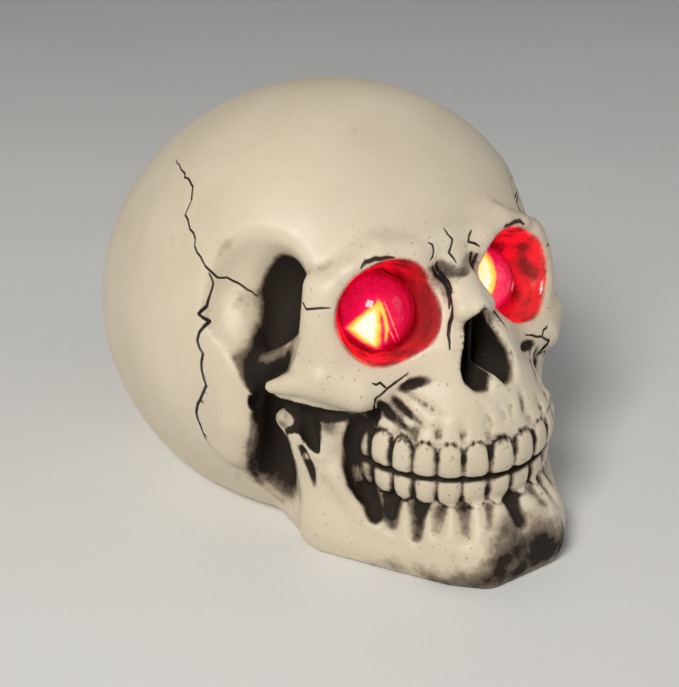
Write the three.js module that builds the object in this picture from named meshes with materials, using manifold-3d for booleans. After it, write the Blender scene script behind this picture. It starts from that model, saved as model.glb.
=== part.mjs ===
// Skull decoration with lit eyes: a hollow resin casting with red eye domes, lamps
// and a battery box in its base.
// Millimetres, +Z up, the face looks along -Y, and the skull's own right side is at -X.
import * as THREE from 'three';
import { mergeVertices } from 'three/addons/utils/BufferGeometryUtils.js';
import Module from 'manifold-3d';

const wasm = await Module();
wasm.setup();

// Gap between pieces that seat on each other
const FIT = 0.3;

// How far a cutting form runs past the face that it cuts
const PAST = 1;

// Cranium: half sizes about its centre, tipped so that the back of the head is low
const CRANIUM_HALF_WIDTH = 52.4;
const CRANIUM_FRONT = 54.3;
const CRANIUM_BACK = 72;
const CRANIUM_TOP = 54.7;
const CRANIUM_BOTTOM = 53;
const CRANIUM_TILT = THREE.MathUtils.degToRad(18.7);
const CRANIUM_CENTRE_Y = 4.6;
const CRANIUM_CENTRE_Z = 37.2;
const FOREHEAD_SQUARENESS = 2.21;

// Hollow of the casting
const SIDE_WALL = 12;
const CROWN_WALL = 8;
const FACE_WALL = 25;
const BASE_WALL = 12;

// Eye sockets: the middle and lean of the opening, its half sizes and the rolled rim round it
const SOCKET_X = 17;
const SOCKET_Y = -43.4;
const SOCKET_Z = 57;
const SOCKET_HALF_WIDTH = 10.4;
const SOCKET_HALF_HEIGHT = 10.9;
const SOCKET_SQUARENESS = 2.6;
const SOCKET_YAW = THREE.MathUtils.degToRad(10.5);
const SOCKET_PITCH = THREE.MathUtils.degToRad(15);
const SOCKET_ROLL = THREE.MathUtils.degToRad(13.5);
const SOCKET_FLARE = 0.5;
const RIM_RADIUS = 2.4;
const RIM_SET_BACK = 2;

// Domes in the sockets
const EYE_X = 14;
const EYE_Y = -35.4;
const EYE_Z = 53.3;
const LENS_RADIUS = 8.4;
const LENS_WALL = 1.6;
const LENS_SKIRT = 2.5;

// Lamps and their holders, measured backwards from the dome's centre
const LED_RADIUS = 2.5;
const LED_TIP = 3;
const LED_FLANGE_RADIUS = 2.9;
const LED_FLANGE_START = 5.3;
const LED_FLANGE_THICKNESS = 1;
const LED_LEAD_LENGTH = 8;
const LED_LEAD_SPACING = 2.54;
const LEAD_WIDTH = 0.6;
const HOLDER_WALL = 1.2;
const HOLDER_FLANGE = 1.6;
const HOLDER_FLANGE_THICKNESS = 1.5;
const HOLDER_END = 10.8;

// Teeth on a round arch
const ARCH_CENTRE_Y = -42;
const UPPER_ARCH_RADIUS = 24;
const LOWER_ARCH_RADIUS = 22.8;
const BITE_HEIGHT = 24.2;
const BITE_GAP = 0.5;
const UPPER_TOOTH_HEIGHT = 9;
const LOWER_TOOTH_HEIGHT = 7.5;
const TOOTH_THICKNESS = 5;
const TOOTH_WIDTHS = [6.3, 6, 5.8, 5.4, 5.2, 6, 5.6];
const TOOTH_CROWDING = 1.06;
const CROWN_TAPER = 0.32;
const CROWN_BREADTH = 0.55;
const CROWN_UPRIGHTNESS = 0.72;

// Upper jaw: level sections from the gums to the root of the nose
const UPPER_JAW = [
  { z: 22, halfWidth: 20, front: -60.5, middle: -42 },
  { z: 33, halfWidth: 20, front: -62.6, middle: -42 },
  { z: 37, halfWidth: 18.6, front: -60.6, middle: -41 },
  { z: 43, halfWidth: 16.6, front: -57.6, middle: -40 },
  { z: 50, halfWidth: 14.5, front: -53.6, middle: -39 },
  { z: 57, halfWidth: 11, front: -49, middle: -38 },
  { z: 64, halfWidth: 7, front: -43.5, middle: -37 },
];

// Lower jaw: level sections behind the teeth, the plan of its foot and the foot's swell round that plan
const LOWER_JAW = [
  { z: 0, halfWidth: 20, front: -65, middle: -42 },
  { z: 8, halfWidth: 20.3, front: -66.4, middle: -42 },
  { z: 17, halfWidth: 20.2, front: -63, middle: -42 },
  { z: 21, halfWidth: 19.4, front: -60.4, middle: -42 },
  { z: 26, halfWidth: 19, front: -59.6, middle: -42 },
];
const JAW_SECTION_BACK = 12;
const JAW_SECTION_SQUARENESS = 2.2;
const FOOT_PLAN = [
  [7.4, -67.6],
  [12.2, -62.6],
  [27.4, -37.4],
  [26, -26],
];
const FOOT_SWELL = [
  { z: 0, swell: 4.9 },
  { z: 5, swell: 6.2 },
  { z: 9, swell: 5.4 },
  { z: 15, swell: 1.4 },
  { z: 22, swell: -6.6 },
  { z: 40, swell: -58 },
];

// Branch of the lower jaw: an upright plate
const BRANCH_MIDDLE = [29.6, -36.6, 17];
const BRANCH_HALF = [2.4, 4.2, 15];
const BRANCH_CORNER = 2.2;
const BRANCH_YAW = THREE.MathUtils.degToRad(-33.7);

// Bones of the left side. Each point is x, y, z and the radius there
const BROW = [
  [0, -40, 68, 3],
  [8, -40.6, 67.2, 3.2],
  [16, -38.8, 69, 2.4],
];
const OUTER_RIM = [
  [28.4, -34.8, 65, 2.2],
  [29.4, -36, 58, 2.7],
  [29.6, -37.4, 50, 3.2],
];
const CHEEK_BONE = [
  [17, -46.8, 41.5, 4],
  [25, -45.4, 41.5, 4.4],
  [31, -40, 43.5, 4.2],
];
const CHEEK_WING = [
  [31, -39.6, 43.8, 4],
  [36.5, -36, 42.6, 2.4],
  [39.6, -33.4, 41.8, 1.3],
];
const NOSE_BONE = [
  [0, -41, 66, 3],
  [0, -44.4, 62.5, 2.4],
  [0, -52.6, 56, 2.8],
];
const JAW_RIDGE = [
  [29.6, -39.4, 22, 1.8],
  [27, -43.6, 16, 1.8],
  [23.5, -49.5, 11, 1.8],
];
const JAW_KNUCKLE = [
  [30.4, -34.4, 27, 2.4],
  [32.2, -32.4, 31.5, 2.2],
  [33.6, -31.2, 33, 2.4],
];

// Hollows of the left side: middle, half sizes, turns and how softly their edges run out
const TEMPLE_DISH = { middle: [49.5, -20, 61], half: [9.5, 15, 21], yaw: -0.5, roll: -0.3, soft: 5 };
const TEMPLE_POCKET = { middle: [40.2, -29.5, 57], half: [9.5, 8.6, 19], yaw: -0.56, roll: -0.14, soft: 2 };
const TEETH_HOLLOW = { middle: [25, -45.5, 25], half: [3.6, 7.5, 11.5], yaw: -0.5, roll: 0, soft: 2 };
const CHEEK_HOLLOW = { middle: [23.5, -52.5, 34.5], half: [4.2, 6, 6], yaw: -0.3, roll: 0, soft: 2.5 };
const JAW_GAP = { middle: [38, -29.8, 20], half: [8, 5.6, 20], yaw: -0.588, roll: 0, soft: 1.6 };

// How softly the bones run into each other, from a tight seam to a broad sweep
const SEAM = 2.5;
const JOIN = 4;
const SWEEP = 5;

// Skin of the casting: levels up the face and over the crown, rays across the face and round the back
const BROW_LEVEL = 70;
const FACE_LEVELS = 21;
const CROWN_LEVELS = 6;
const FACE_RAYS = 46;
const BACK_RAYS = 20;
const FACE_ANGLE = THREE.MathUtils.degToRad(125);

// Nose opening
const NOSE_HALF_WIDTH = 7.3;
const NOSE_BOTTOM = 40.5;
const NOSE_WIDEST = 44.5;
const NOSE_TOP = 56;
const NOSE_BACK = -45;
const NOSE_SPINE = 2.5;
const SEPTUM_THICKNESS = 1.4;
const SEPTUM_FRONT = -51.5;

// AAA cells
const CELL_RADIUS = 5.25;
const CELL_LENGTH = 44.5;
const CELL_NIPPLE_RADIUS = 1.9;
const CELL_NIPPLE = 1;
const CELL_SPACE = 0.4;
const CELL_EDGE = 0.4;

// Battery box in the base
const BOX_FRONT_Y = -25;
const BOX_WALL = 1.6;
const FLANGE_RECESS = 2.5;
const FLANGE_THICKNESS = 3;
const FLANGE_WIDTH = 5.6;
const FLANGE_CORNER = 4;
const BOSS_BAY = 7;
const SWITCH_BAY = 13;
const CONTACT_THICKNESS = 0.5;
const CONTACT_MARGIN = 0.7;
const SPRING_LENGTH = 5;
const SPRING_RADIUS = 3.4;
const SPRING_TIP_RADIUS = 2.2;
const SPRING_WIRE = 0.35;
const SPRING_TURNS = 4;
const TAB_WIDTH = 2.4;
const TAB_RISE = 2.5;

// Battery door
const DOOR_THICKNESS = 2;
const DOOR_PIN_RADIUS = 0.7;
const DOOR_PIN_LENGTH = 1.4;
const DOOR_PIN_PLAY = 0.2;
const DOOR_GAP = 0.35;
const GRIP_RIBS = 5;
const GRIP_PITCH = 1.6;
const GRIP_DEPTH = 0.5;
const GRIP_START = 4;

// Screws
const SCREW_RADIUS = 1.1;
const SCREW_HEAD_RADIUS = 2.1;
const SCREW_HEAD_HEIGHT = 1.2;
const SCREW_BITE = 5;
const SCREW_PLAY = 0.45;
const SCREW_SLOT_WIDTH = 0.6;
const SCREW_SLOT_DEPTH = 0.5;
const SCREW_END = 1.5;

// Slide switch
const SWITCH_LENGTH = 11;
const SWITCH_WIDTH = 5.5;
const SWITCH_HEIGHT = 5.5;
const SWITCH_EAR = 4.6;
const SWITCH_PLATE = 0.6;
const SWITCH_WALL = 0.6;
const SLIDER_PLATE = 1.2;
const SLIDER_ROOM = 1;
const SWITCH_TRAVEL = 3;
const KNOB_LENGTH = 3.4;
const KNOB_WIDTH = 2.4;
const KNOB_REACH = 1.7;
const KNOB_NOTCH = 0.5;
const TERMINAL_RISE = 3;
const TERMINAL_WIDTH = 1.4;
const TERMINAL_THICKNESS = 0.5;

// Circuit board, resistors and wires
const BOARD_WIDTH = 20;
const BOARD_LENGTH = 15;
const BOARD_THICKNESS = 1.2;
const BOARD_Y = 12;
const POST_RADIUS = 1.3;
const POST_HEIGHT = 1.5;
const POST_INSET = 2;
const RESISTOR_RADIUS = 1.1;
const RESISTOR_LENGTH = 6;
const RESISTOR_WAIST = 0.9;
const RESISTOR_BAND = 1.4;
const RESISTOR_X = 4;
const WIRE_RADIUS = 0.6;
const WIRE_BEND = 3;
const PAD_INSET = 1.5;
const PAD_PITCH = 3;

// Sizes that follow from those above
const BASE_Z = 0;
const FLANGE_BOTTOM = BASE_Z + FLANGE_RECESS;
const FLANGE_TOP = FLANGE_BOTTOM + FLANGE_THICKNESS;
const DOOR_BOTTOM = FLANGE_BOTTOM + FIT;
const DOOR_TOP = DOOR_BOTTOM + DOOR_THICKNESS;
const CELL_X = CELL_RADIUS + CELL_SPACE;
const CELL_Z = DOOR_TOP + CELL_SPACE + CELL_RADIUS;
const BAY_HALF_WIDTH = CELL_X + CELL_RADIUS + CELL_SPACE;
const BAY_FRONT = BOX_FRONT_Y + BOX_WALL;
const BAY_LENGTH = CELL_LENGTH + SPRING_LENGTH + 2 * CONTACT_THICKNESS + 5 * FIT;
const BAY_BACK = BAY_FRONT + BAY_LENGTH;
const BAY_TOP = CELL_Z + CELL_RADIUS + CELL_SPACE;
const BOX_HALF_WIDTH = BAY_HALF_WIDTH + BOX_WALL;
const BOX_TOP = BAY_TOP + BOX_WALL;
const BOSS_BACK = BAY_BACK + BOSS_BAY;
const BOX_BACK_Y = BOSS_BACK + SWITCH_BAY;
const FLANGE_HALF_WIDTH = BOX_HALF_WIDTH + FLANGE_WIDTH;
const FLANGE_FRONT_Y = BOX_FRONT_Y - FLANGE_WIDTH;
const FLANGE_BACK_Y = BOX_BACK_Y + FLANGE_WIDTH;
const SWITCH_Y = (BOSS_BACK + BOX_BACK_Y) / 2;
const SWITCH_PLATE_BOTTOM = FLANGE_TOP + FIT;
const SWITCH_SCREW_X = SWITCH_LENGTH / 2 + SWITCH_EAR / 2;
const SLIDER_PLATE_BOTTOM = SWITCH_PLATE_BOTTOM + SWITCH_PLATE + FIT;
const SLIDER_PLATE_TOP = SLIDER_PLATE_BOTTOM + SLIDER_PLATE;
const DOOR_PIN_Y = BAY_FRONT + DOOR_GAP + DOOR_THICKNESS / 2;
const DOOR_PIN_Z = DOOR_BOTTOM + DOOR_THICKNESS / 2;
const DOOR_BACK = BOSS_BACK - BOX_WALL - DOOR_GAP;
const DOOR_SCREW_Y = (BAY_BACK + DOOR_BACK) / 2;
const CONTACT_HALF = CELL_RADIUS - CONTACT_MARGIN;
const CONTACT_LOW = CELL_Z - CONTACT_HALF;
const CONTACT_HIGH = CELL_Z + CONTACT_HALF;
const FRONT_SEAT = BAY_FRONT + FIT + CONTACT_THICKNESS + FIT;
const BACK_SEAT = BAY_BACK - FIT - CONTACT_THICKNESS - FIT;
const HOLDER_INNER_RADIUS = LED_RADIUS + FIT;
const HOLDER_SEAT_RADIUS = LED_FLANGE_RADIUS + FIT;
const HOLDER_RADIUS = HOLDER_SEAT_RADIUS + HOLDER_WALL;
const HOLDER_FLANGE_RADIUS = HOLDER_RADIUS + HOLDER_FLANGE;
const BOARD_BOTTOM = BOX_TOP + POST_HEIGHT + FIT;
const BOARD_TOP = BOARD_BOTTOM + BOARD_THICKNESS;
const LEAD_END_Y = EYE_Y + LED_FLANGE_START + LED_FLANGE_THICKNESS + LED_LEAD_LENGTH;
const PAD_Z = BOARD_TOP + FIT + WIRE_RADIUS;
const PAD_FRONT_Y = BOARD_Y - BOARD_LENGTH / 2 + PAD_INSET;
const PAD_BACK_Y = BOARD_Y + BOARD_LENGTH / 2 - PAD_INSET;

// Geometry helpers

// Closed solid from a three.js geometry: shared corners merged, slivers dropped, faces turned outwards
function solid(geometry) {
  const bare = geometry.clone();
  bare.deleteAttribute('normal');
  bare.deleteAttribute('uv');
  const merged = mergeVertices(bare, 1e-4);
  const places = merged.attributes.position;
  const index = merged.index.array;
  const corners = [];
  let volume = 0;
  const a = new THREE.Vector3();
  const b = new THREE.Vector3();
  const c = new THREE.Vector3();
  for (let i = 0; i < index.length; i += 3) {
    const [p, q, r] = [index[i], index[i + 1], index[i + 2]];
    if (p === q || q === r || r === p) continue;
    a.fromBufferAttribute(places, p);
    b.fromBufferAttribute(places, q);
    c.fromBufferAttribute(places, r);
    volume += a.dot(b.cross(c));
    corners.push(p, q, r);
  }
  if (volume < 0) corners.reverse();
  const mesh = new wasm.Mesh({
    numProp: 3,
    vertProperties: new Float32Array(places.array),
    triVerts: new Uint32Array(corners),
  });
  mesh.merge();
  return new wasm.Manifold(mesh);
}

function geometryOf(body) {
  const mesh = body.getMesh();
  const geometry = new THREE.BufferGeometry();
  geometry.setAttribute('position', new THREE.BufferAttribute(mesh.vertProperties, 3));
  geometry.setIndex(new THREE.BufferAttribute(mesh.triVerts, 1));
  geometry.computeVertexNormals();
  return geometry;
}

function joined(bodies) {
  return bodies.reduce((whole, body) => whole.add(body));
}

function box(low, high) {
  const size = high.map((value, axis) => value - low[axis]);
  const geometry = new THREE.BoxGeometry(...size);
  geometry.translate(...low.map((value, axis) => value + size[axis] / 2));
  return solid(geometry);
}

// Round bar between two heights, upright
function post(x, y, low, high, radius, sides = 16) {
  const geometry = new THREE.CylinderGeometry(radius, radius, high - low, sides);
  geometry.rotateX(Math.PI / 2);
  geometry.translate(x, y, (low + high) / 2);
  return solid(geometry);
}

// Turned piece: the profile's radius is across and its height is forwards, along -Y
function turnedForwards(profile, sides) {
  const points = profile.map(([radius, forwards]) => new THREE.Vector2(radius, forwards));
  const geometry = new THREE.LatheGeometry(points, sides);
  geometry.rotateX(Math.PI);
  return geometry;
}

// Turned piece standing upright
function turnedUpright(profile, sides) {
  const points = profile.map(([radius, height]) => new THREE.Vector2(radius, height));
  const geometry = new THREE.LatheGeometry(points, sides);
  geometry.rotateX(Math.PI / 2);
  return geometry;
}

// Closed skin over rings of equal count, with a point at each end
function skin(rings, first, last) {
  const count = rings[0].length;
  const positions = [];
  const index = [];
  for (const ring of rings) {
    for (const point of ring) positions.push(point.x, point.y, point.z);
  }
  positions.push(first.x, first.y, first.z, last.x, last.y, last.z);
  const head = rings.length * count;
  const end = (rings.length - 1) * count;
  for (let k = 0; k < count; k += 1) {
    const next = (k + 1) % count;
    for (let ring = 0; ring + 1 < rings.length; ring += 1) {
      const low = ring * count;
      const high = low + count;
      index.push(low + k, low + next, high + next);
      index.push(low + k, high + next, high + k);
    }
    index.push(head, next, k);
    index.push(head + 1, end + k, end + next);
  }
  const geometry = new THREE.BufferGeometry();
  geometry.setAttribute('position', new THREE.Float32BufferAttribute(positions, 3));
  geometry.setIndex(index);
  return geometry;
}

// Flat outline pushed up between two heights
function slab(shape, low, high, curveSegments = 6) {
  const options = { depth: high - low, bevelEnabled: false, curveSegments };
  const geometry = new THREE.ExtrudeGeometry(shape, options);
  geometry.translate(0, 0, low);
  return solid(geometry);
}

function roundedRectangle(halfWidth, front, back, corner) {
  const shape = new THREE.Shape();
  shape.moveTo(-halfWidth + corner, front);
  shape.lineTo(halfWidth - corner, front);
  shape.absarc(halfWidth - corner, front + corner, corner, -Math.PI / 2, 0);
  shape.lineTo(halfWidth, back - corner);
  shape.absarc(halfWidth - corner, back - corner, corner, 0, Math.PI / 2);
  shape.lineTo(-halfWidth + corner, back);
  shape.absarc(-halfWidth + corner, back - corner, corner, Math.PI / 2, Math.PI);
  shape.lineTo(-halfWidth, front + corner);
  shape.absarc(-halfWidth + corner, front + corner, corner, Math.PI, Math.PI * 1.5);
  return shape;
}

// Skull casting: forms as signed distances, blended and then skinned

const clamp = THREE.MathUtils.clamp;

// Soft join of two distances, over the given width
function softJoin(a, b, width) {
  const share = clamp(0.5 + (b - a) / (2 * width), 0, 1);
  return b + (a - b) * share - width * share * (1 - share);
}

function softCut(a, b, width) {
  return -softJoin(-a, b, width);
}

// Distance to a form whose scale is 1 on its surface
function scaledDistance(scale, slopes) {
  return (scale * (scale - 1)) / Math.max(Math.hypot(...slopes), 1e-6);
}

// Value at a height, along straight lines between the rows of a list
function between(rows, z, key) {
  const next = rows.findIndex((row) => row.z >= z);
  if (next === 0) return rows[0][key];
  if (next < 0) return rows[rows.length - 1][key];
  const [low, high] = [rows[next - 1], rows[next]];
  return low[key] + ((high[key] - low[key]) * (z - low.z)) / (high.z - low.z);
}

function superellipse(u, v, halfU, halfV, squareness) {
  const a = Math.abs(u) / halfU;
  const b = Math.abs(v) / halfV;
  const scale = (a ** squareness + b ** squareness) ** (1 / squareness);
  return scaledDistance(scale, [a / halfU, b / halfV]);
}

function craniumDistance([x, y, z]) {
  const forwards = y - CRANIUM_CENTRE_Y;
  const up = z - CRANIUM_CENTRE_Z;
  const along = forwards * Math.cos(CRANIUM_TILT) - up * Math.sin(CRANIUM_TILT);
  const over = forwards * Math.sin(CRANIUM_TILT) + up * Math.cos(CRANIUM_TILT);
  const length = along < 0 ? CRANIUM_FRONT : CRANIUM_BACK;
  const height = over < 0 ? CRANIUM_BOTTOM : CRANIUM_TOP;
  const a = x / CRANIUM_HALF_WIDTH;
  const b = Math.abs(along) / length;
  const c = Math.abs(over) / height;
  const power = 2 + (FOREHEAD_SQUARENESS - 2) * clamp((-2 * along) / length, 0, 1);
  const scale = Math.sqrt(a ** power + b ** power + c * c);
  return scaledDistance(scale, [a / CRANIUM_HALF_WIDTH, b / length, c / height]);
}

// Tapered bar through a bone's points
function boneDistance(bone, [x, y, z]) {
  let nearest = Infinity;
  for (let k = 0; k + 1 < bone.length; k += 1) {
    const [px, py, pz, start] = bone[k];
    const [qx, qy, qz, end] = bone[k + 1];
    const axis = [qx - px, qy - py, qz - pz];
    const from = [x - px, y - py, z - pz];
    const length = axis[0] ** 2 + axis[1] ** 2 + axis[2] ** 2;
    const t = clamp((from[0] * axis[0] + from[1] * axis[1] + from[2] * axis[2]) / length, 0, 1);
    const away = Math.hypot(from[0] - t * axis[0], from[1] - t * axis[1], from[2] - t * axis[2]);
    nearest = Math.min(nearest, away - start - (end - start) * t);
  }
  return nearest;
}

// Place of a point in a frame that is turned about Z and then leaned sideways
function turnedPlace([x, y, z], middle, yaw, roll) {
  const across = (x - middle[0]) * Math.cos(yaw) + (y - middle[1]) * Math.sin(yaw);
  const along = (y - middle[1]) * Math.cos(yaw) - (x - middle[0]) * Math.sin(yaw);
  const up = z - middle[2];
  const leaned = across * Math.cos(roll) - up * Math.sin(roll);
  return [leaned, along, across * Math.sin(roll) + up * Math.cos(roll)];
}

function hollowDistance({ middle, half, yaw, roll }, point) {
  const scaled = turnedPlace(point, middle, yaw, roll).map((value, axis) => value / half[axis]);
  return scaledDistance(Math.hypot(...scaled), scaled.map((value, axis) => value / half[axis]));
}

// Jaw section at a height, round at the front and short at the back
function jawDistance(levels, [x, y, z]) {
  const middle = between(levels, z, 'middle');
  const front = middle - between(levels, z, 'front');
  const length = y < middle ? front : JAW_SECTION_BACK;
  const side = superellipse(x, y - middle, between(levels, z, 'halfWidth'), length, JAW_SECTION_SQUARENESS);
  return Math.max(side, levels[0].z - z, z - levels[levels.length - 1].z);
}

// Foot of the lower jaw: distance to its plan, less the swell at that height
function footDistance([x, y, z]) {
  const right = FOOT_PLAN.map(([planX, planY]) => [-planX, planY]).reverse();
  const plan = [...FOOT_PLAN, ...right];
  let nearest = Infinity;
  let inside = false;
  for (let k = 0; k < plan.length; k += 1) {
    const [ax, ay] = plan[k];
    const [bx, by] = plan[(k + 1) % plan.length];
    const [ex, ey] = [bx - ax, by - ay];
    const t = clamp(((x - ax) * ex + (y - ay) * ey) / (ex * ex + ey * ey), 0, 1);
    nearest = Math.min(nearest, Math.hypot(x - ax - t * ex, y - ay - t * ey));
    if (ay > y !== by > y && x < ax + (ex * (y - ay)) / ey) inside = !inside;
  }
  return (inside ? -nearest : nearest) - between(FOOT_SWELL, z, 'swell');
}

function branchDistance(point) {
  const place = turnedPlace(point, BRANCH_MIDDLE, BRANCH_YAW, 0);
  const over = place.map((value, axis) => Math.abs(value) - BRANCH_HALF[axis] + BRANCH_CORNER);
  const outside = Math.hypot(...over.map((value) => Math.max(value, 0)));
  return outside + Math.min(Math.max(...over), 0) - BRANCH_CORNER;
}

// Directions of a left socket: across and up its opening, and out of it
function socketAxes() {
  const level = new THREE.Vector3(Math.cos(SOCKET_YAW), Math.sin(SOCKET_YAW), 0);
  const lean = new THREE.Vector3(0, Math.sin(SOCKET_PITCH), Math.cos(SOCKET_PITCH));
  const upright = lean.addScaledVector(level, -lean.dot(level)).normalize();
  const out = level.clone().cross(upright);
  const across = level.clone().applyAxisAngle(out, SOCKET_ROLL);
  return { across, up: out.clone().cross(across), out };
}

const SOCKET_AXES = socketAxes();
const SOCKET_MIDDLE = new THREE.Vector3(SOCKET_X, SOCKET_Y, SOCKET_Z);

function rimDistance(point) {
  const from = new THREE.Vector3(...point).sub(SOCKET_MIDDLE);
  const ring = superellipse(
    from.dot(SOCKET_AXES.across),
    from.dot(SOCKET_AXES.up),
    SOCKET_HALF_WIDTH + RIM_RADIUS,
    SOCKET_HALF_HEIGHT + RIM_RADIUS,
    SOCKET_SQUARENESS,
  );
  return Math.hypot(ring, from.dot(SOCKET_AXES.out) + RIM_SET_BACK) - RIM_RADIUS;
}

// The whole outside of the casting, without its teeth and its cut openings
function castingDistance(x, y, z) {
  const point = [Math.abs(x), y, z];
  const add = (other, width) => {
    distance = softJoin(distance, other, width);
  };
  const carve = (hollow) => {
    distance = softCut(distance, hollowDistance(hollow, point), hollow.soft);
  };
  let distance = craniumDistance(point);
  carve(TEMPLE_DISH);
  carve(TEMPLE_POCKET);
  add(rimDistance(point), JOIN);
  add(boneDistance(OUTER_RIM, point), SEAM);
  add(boneDistance(BROW, point), JOIN);
  add(boneDistance(CHEEK_BONE, point), JOIN);
  add(boneDistance(CHEEK_WING, point), SEAM);
  add(jawDistance(UPPER_JAW, point), JOIN);
  add(boneDistance(NOSE_BONE, point), SEAM);
  add(footDistance(point), JOIN);
  add(jawDistance(LOWER_JAW, point), JOIN);
  add(branchDistance(point), SEAM);
  add(boneDistance(JAW_RIDGE, point), SWEEP);
  add(boneDistance(JAW_KNUCKLE, point), SEAM);
  carve(TEETH_HOLLOW);
  carve(CHEEK_HOLLOW);
  carve(JAW_GAP);
  return distance;
}

// First place where a line from outside meets the casting
function meeting(outside, inwards) {
  const step = 0.8;
  const point = outside.clone();
  while (castingDistance(point.x, point.y, point.z) > 0) point.addScaledVector(inwards, step);
  for (let half = step / 2; half > 1e-3; half /= 2) {
    const sign = castingDistance(point.x, point.y, point.z) > 0 ? 1 : -1;
    point.addScaledVector(inwards, sign * half);
  }
  return point;
}

// Skin of the casting: on each level, rays from all round towards an upright axis through the cranium
function castingSkin() {
  const reach = CRANIUM_BACK + CRANIUM_FRONT;
  const down = new THREE.Vector3(0, 0, -1);
  const crown = meeting(new THREE.Vector3(0, CRANIUM_CENTRE_Y, reach), down);
  const heights = [];
  for (let k = 0; k < FACE_LEVELS; k += 1) {
    heights.push(BASE_Z + ((BROW_LEVEL - BASE_Z) * k) / FACE_LEVELS);
  }
  for (let k = 0; k < CROWN_LEVELS; k += 1) {
    heights.push(BROW_LEVEL + (crown.z - BROW_LEVEL) * Math.sin((Math.PI / 2) * (k / CROWN_LEVELS)));
  }
  const angles = [];
  for (let k = 0; k < FACE_RAYS; k += 1) angles.push(FACE_ANGLE * (k / FACE_RAYS - 0.5));
  for (let k = 0; k < BACK_RAYS; k += 1) {
    angles.push(FACE_ANGLE / 2 + (2 * Math.PI - FACE_ANGLE) * (k / BACK_RAYS));
  }
  const rings = heights.map((z) => angles.map((angle) => {
    const inwards = new THREE.Vector3(-Math.sin(angle), Math.cos(angle), 0);
    const outside = new THREE.Vector3(0, CRANIUM_CENTRE_Y, z).addScaledVector(inwards, -reach);
    return meeting(outside, inwards);
  }));
  return solid(skin(rings, new THREE.Vector3(0, CRANIUM_CENTRE_Y, BASE_Z), crown));
}

// Egg form of the hollow with a squarer front half, tipped back about the cranium's centre
function egg(halfWidth, front, back, top, bottom, around, rings) {
  const geometry = new THREE.SphereGeometry(1, around, rings);
  geometry.rotateX(Math.PI / 2);
  const places = geometry.attributes.position;
  const squared = (value, power) => Math.sign(value) * Math.abs(value) ** power;
  for (let i = 0; i < places.count; i += 1) {
    const x = places.getX(i);
    const y = places.getY(i);
    const z = places.getZ(i);
    const power = 1 + (2 / FOREHEAD_SQUARENESS - 1) * clamp(-2 * y, 0, 1);
    places.setX(i, halfWidth * squared(x, power));
    places.setY(i, (y < 0 ? front : back) * squared(y, power));
    places.setZ(i, (z < 0 ? bottom : top) * z);
  }
  geometry.rotateX(-CRANIUM_TILT);
  geometry.translate(0, CRANIUM_CENTRE_Y, CRANIUM_CENTRE_Z);
  return solid(geometry);
}

// Hollow inside the cranium, with a flat floor
function innerHollow() {
  const inside = egg(
    CRANIUM_HALF_WIDTH - SIDE_WALL,
    CRANIUM_FRONT - FACE_WALL,
    CRANIUM_BACK - CROWN_WALL,
    CRANIUM_TOP - CROWN_WALL,
    CRANIUM_BOTTOM - CROWN_WALL,
    20,
    12,
  );
  const reach = 2 * CRANIUM_BACK;
  return inside.intersect(box([-reach, -reach, BASE_WALL], [reach, reach, reach]));
}

// Funnel of a socket, from its flared mouth through the rim down to the dome's seat
function socketCut(side) {
  const { across, up, out } = SOCKET_AXES;
  const seat = new THREE.Vector3(EYE_X, EYE_Y, EYE_Z);
  const seatRadius = LENS_RADIUS + 2 * FIT;
  const mouth = SOCKET_MIDDLE.clone().addScaledVector(out, LENS_RADIUS);
  const flare = SOCKET_FLARE * LENS_RADIUS;
  const stations = [
    { centre: seat, halfWidth: seatRadius, halfHeight: seatRadius },
    { centre: SOCKET_MIDDLE, halfWidth: SOCKET_HALF_WIDTH, halfHeight: SOCKET_HALF_HEIGHT },
    { centre: mouth, halfWidth: SOCKET_HALF_WIDTH + flare, halfHeight: SOCKET_HALF_HEIGHT + flare },
  ];
  const sides = 24;
  const rings = stations.map(({ centre, halfWidth, halfHeight }) => {
    const ring = [];
    for (let k = 0; k < sides; k += 1) {
      const angle = (2 * Math.PI * k) / sides;
      const squared = (value) => Math.sign(value) * Math.abs(value) ** (2 / SOCKET_SQUARENESS);
      const point = centre.clone();
      point.addScaledVector(across, halfWidth * squared(Math.cos(angle)));
      point.addScaledVector(up, halfHeight * squared(Math.sin(angle)));
      point.x *= side;
      ring.push(point);
    }
    return ring;
  });
  const ends = [seat.clone(), mouth.clone()];
  for (const end of ends) end.x *= side;
  return solid(skin(rings, ends[0], ends[1]));
}

// Stepped bore behind a socket: dome pocket, holder bore and a flat for the holder's flange
function eyeBore(side) {
  const pocketMouth = LENS_RADIUS / 3;
  const pocketFloor = -LENS_SKIRT - FIT;
  const flangeSeat = -HOLDER_END + FIT;
  const profile = [
    [0, pocketMouth],
    [LENS_RADIUS + FIT, pocketMouth],
    [LENS_RADIUS + FIT, pocketFloor],
    [HOLDER_RADIUS + FIT, pocketFloor],
    [HOLDER_RADIUS + FIT, flangeSeat],
    [HOLDER_FLANGE_RADIUS + FIT, flangeSeat],
    [HOLDER_FLANGE_RADIUS + FIT, -FACE_WALL],
    [0, -FACE_WALL],
  ];
  const geometry = turnedForwards(profile, 22);
  geometry.translate(side * EYE_X, EYE_Y, EYE_Z);
  return solid(geometry);
}

// Gums behind both rows of teeth
function gums() {
  const radius = LOWER_ARCH_RADIUS - TOOTH_THICKNESS / 2;
  const height = UPPER_TOOTH_HEIGHT + LOWER_TOOTH_HEIGHT + BITE_GAP;
  const geometry = new THREE.CylinderGeometry(radius, radius, height, 36);
  geometry.rotateX(Math.PI / 2);
  geometry.translate(0, ARCH_CENTRE_Y, BITE_HEIGHT + (UPPER_TOOTH_HEIGHT - LOWER_TOOTH_HEIGHT) / 2);
  return solid(geometry);
}

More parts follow.
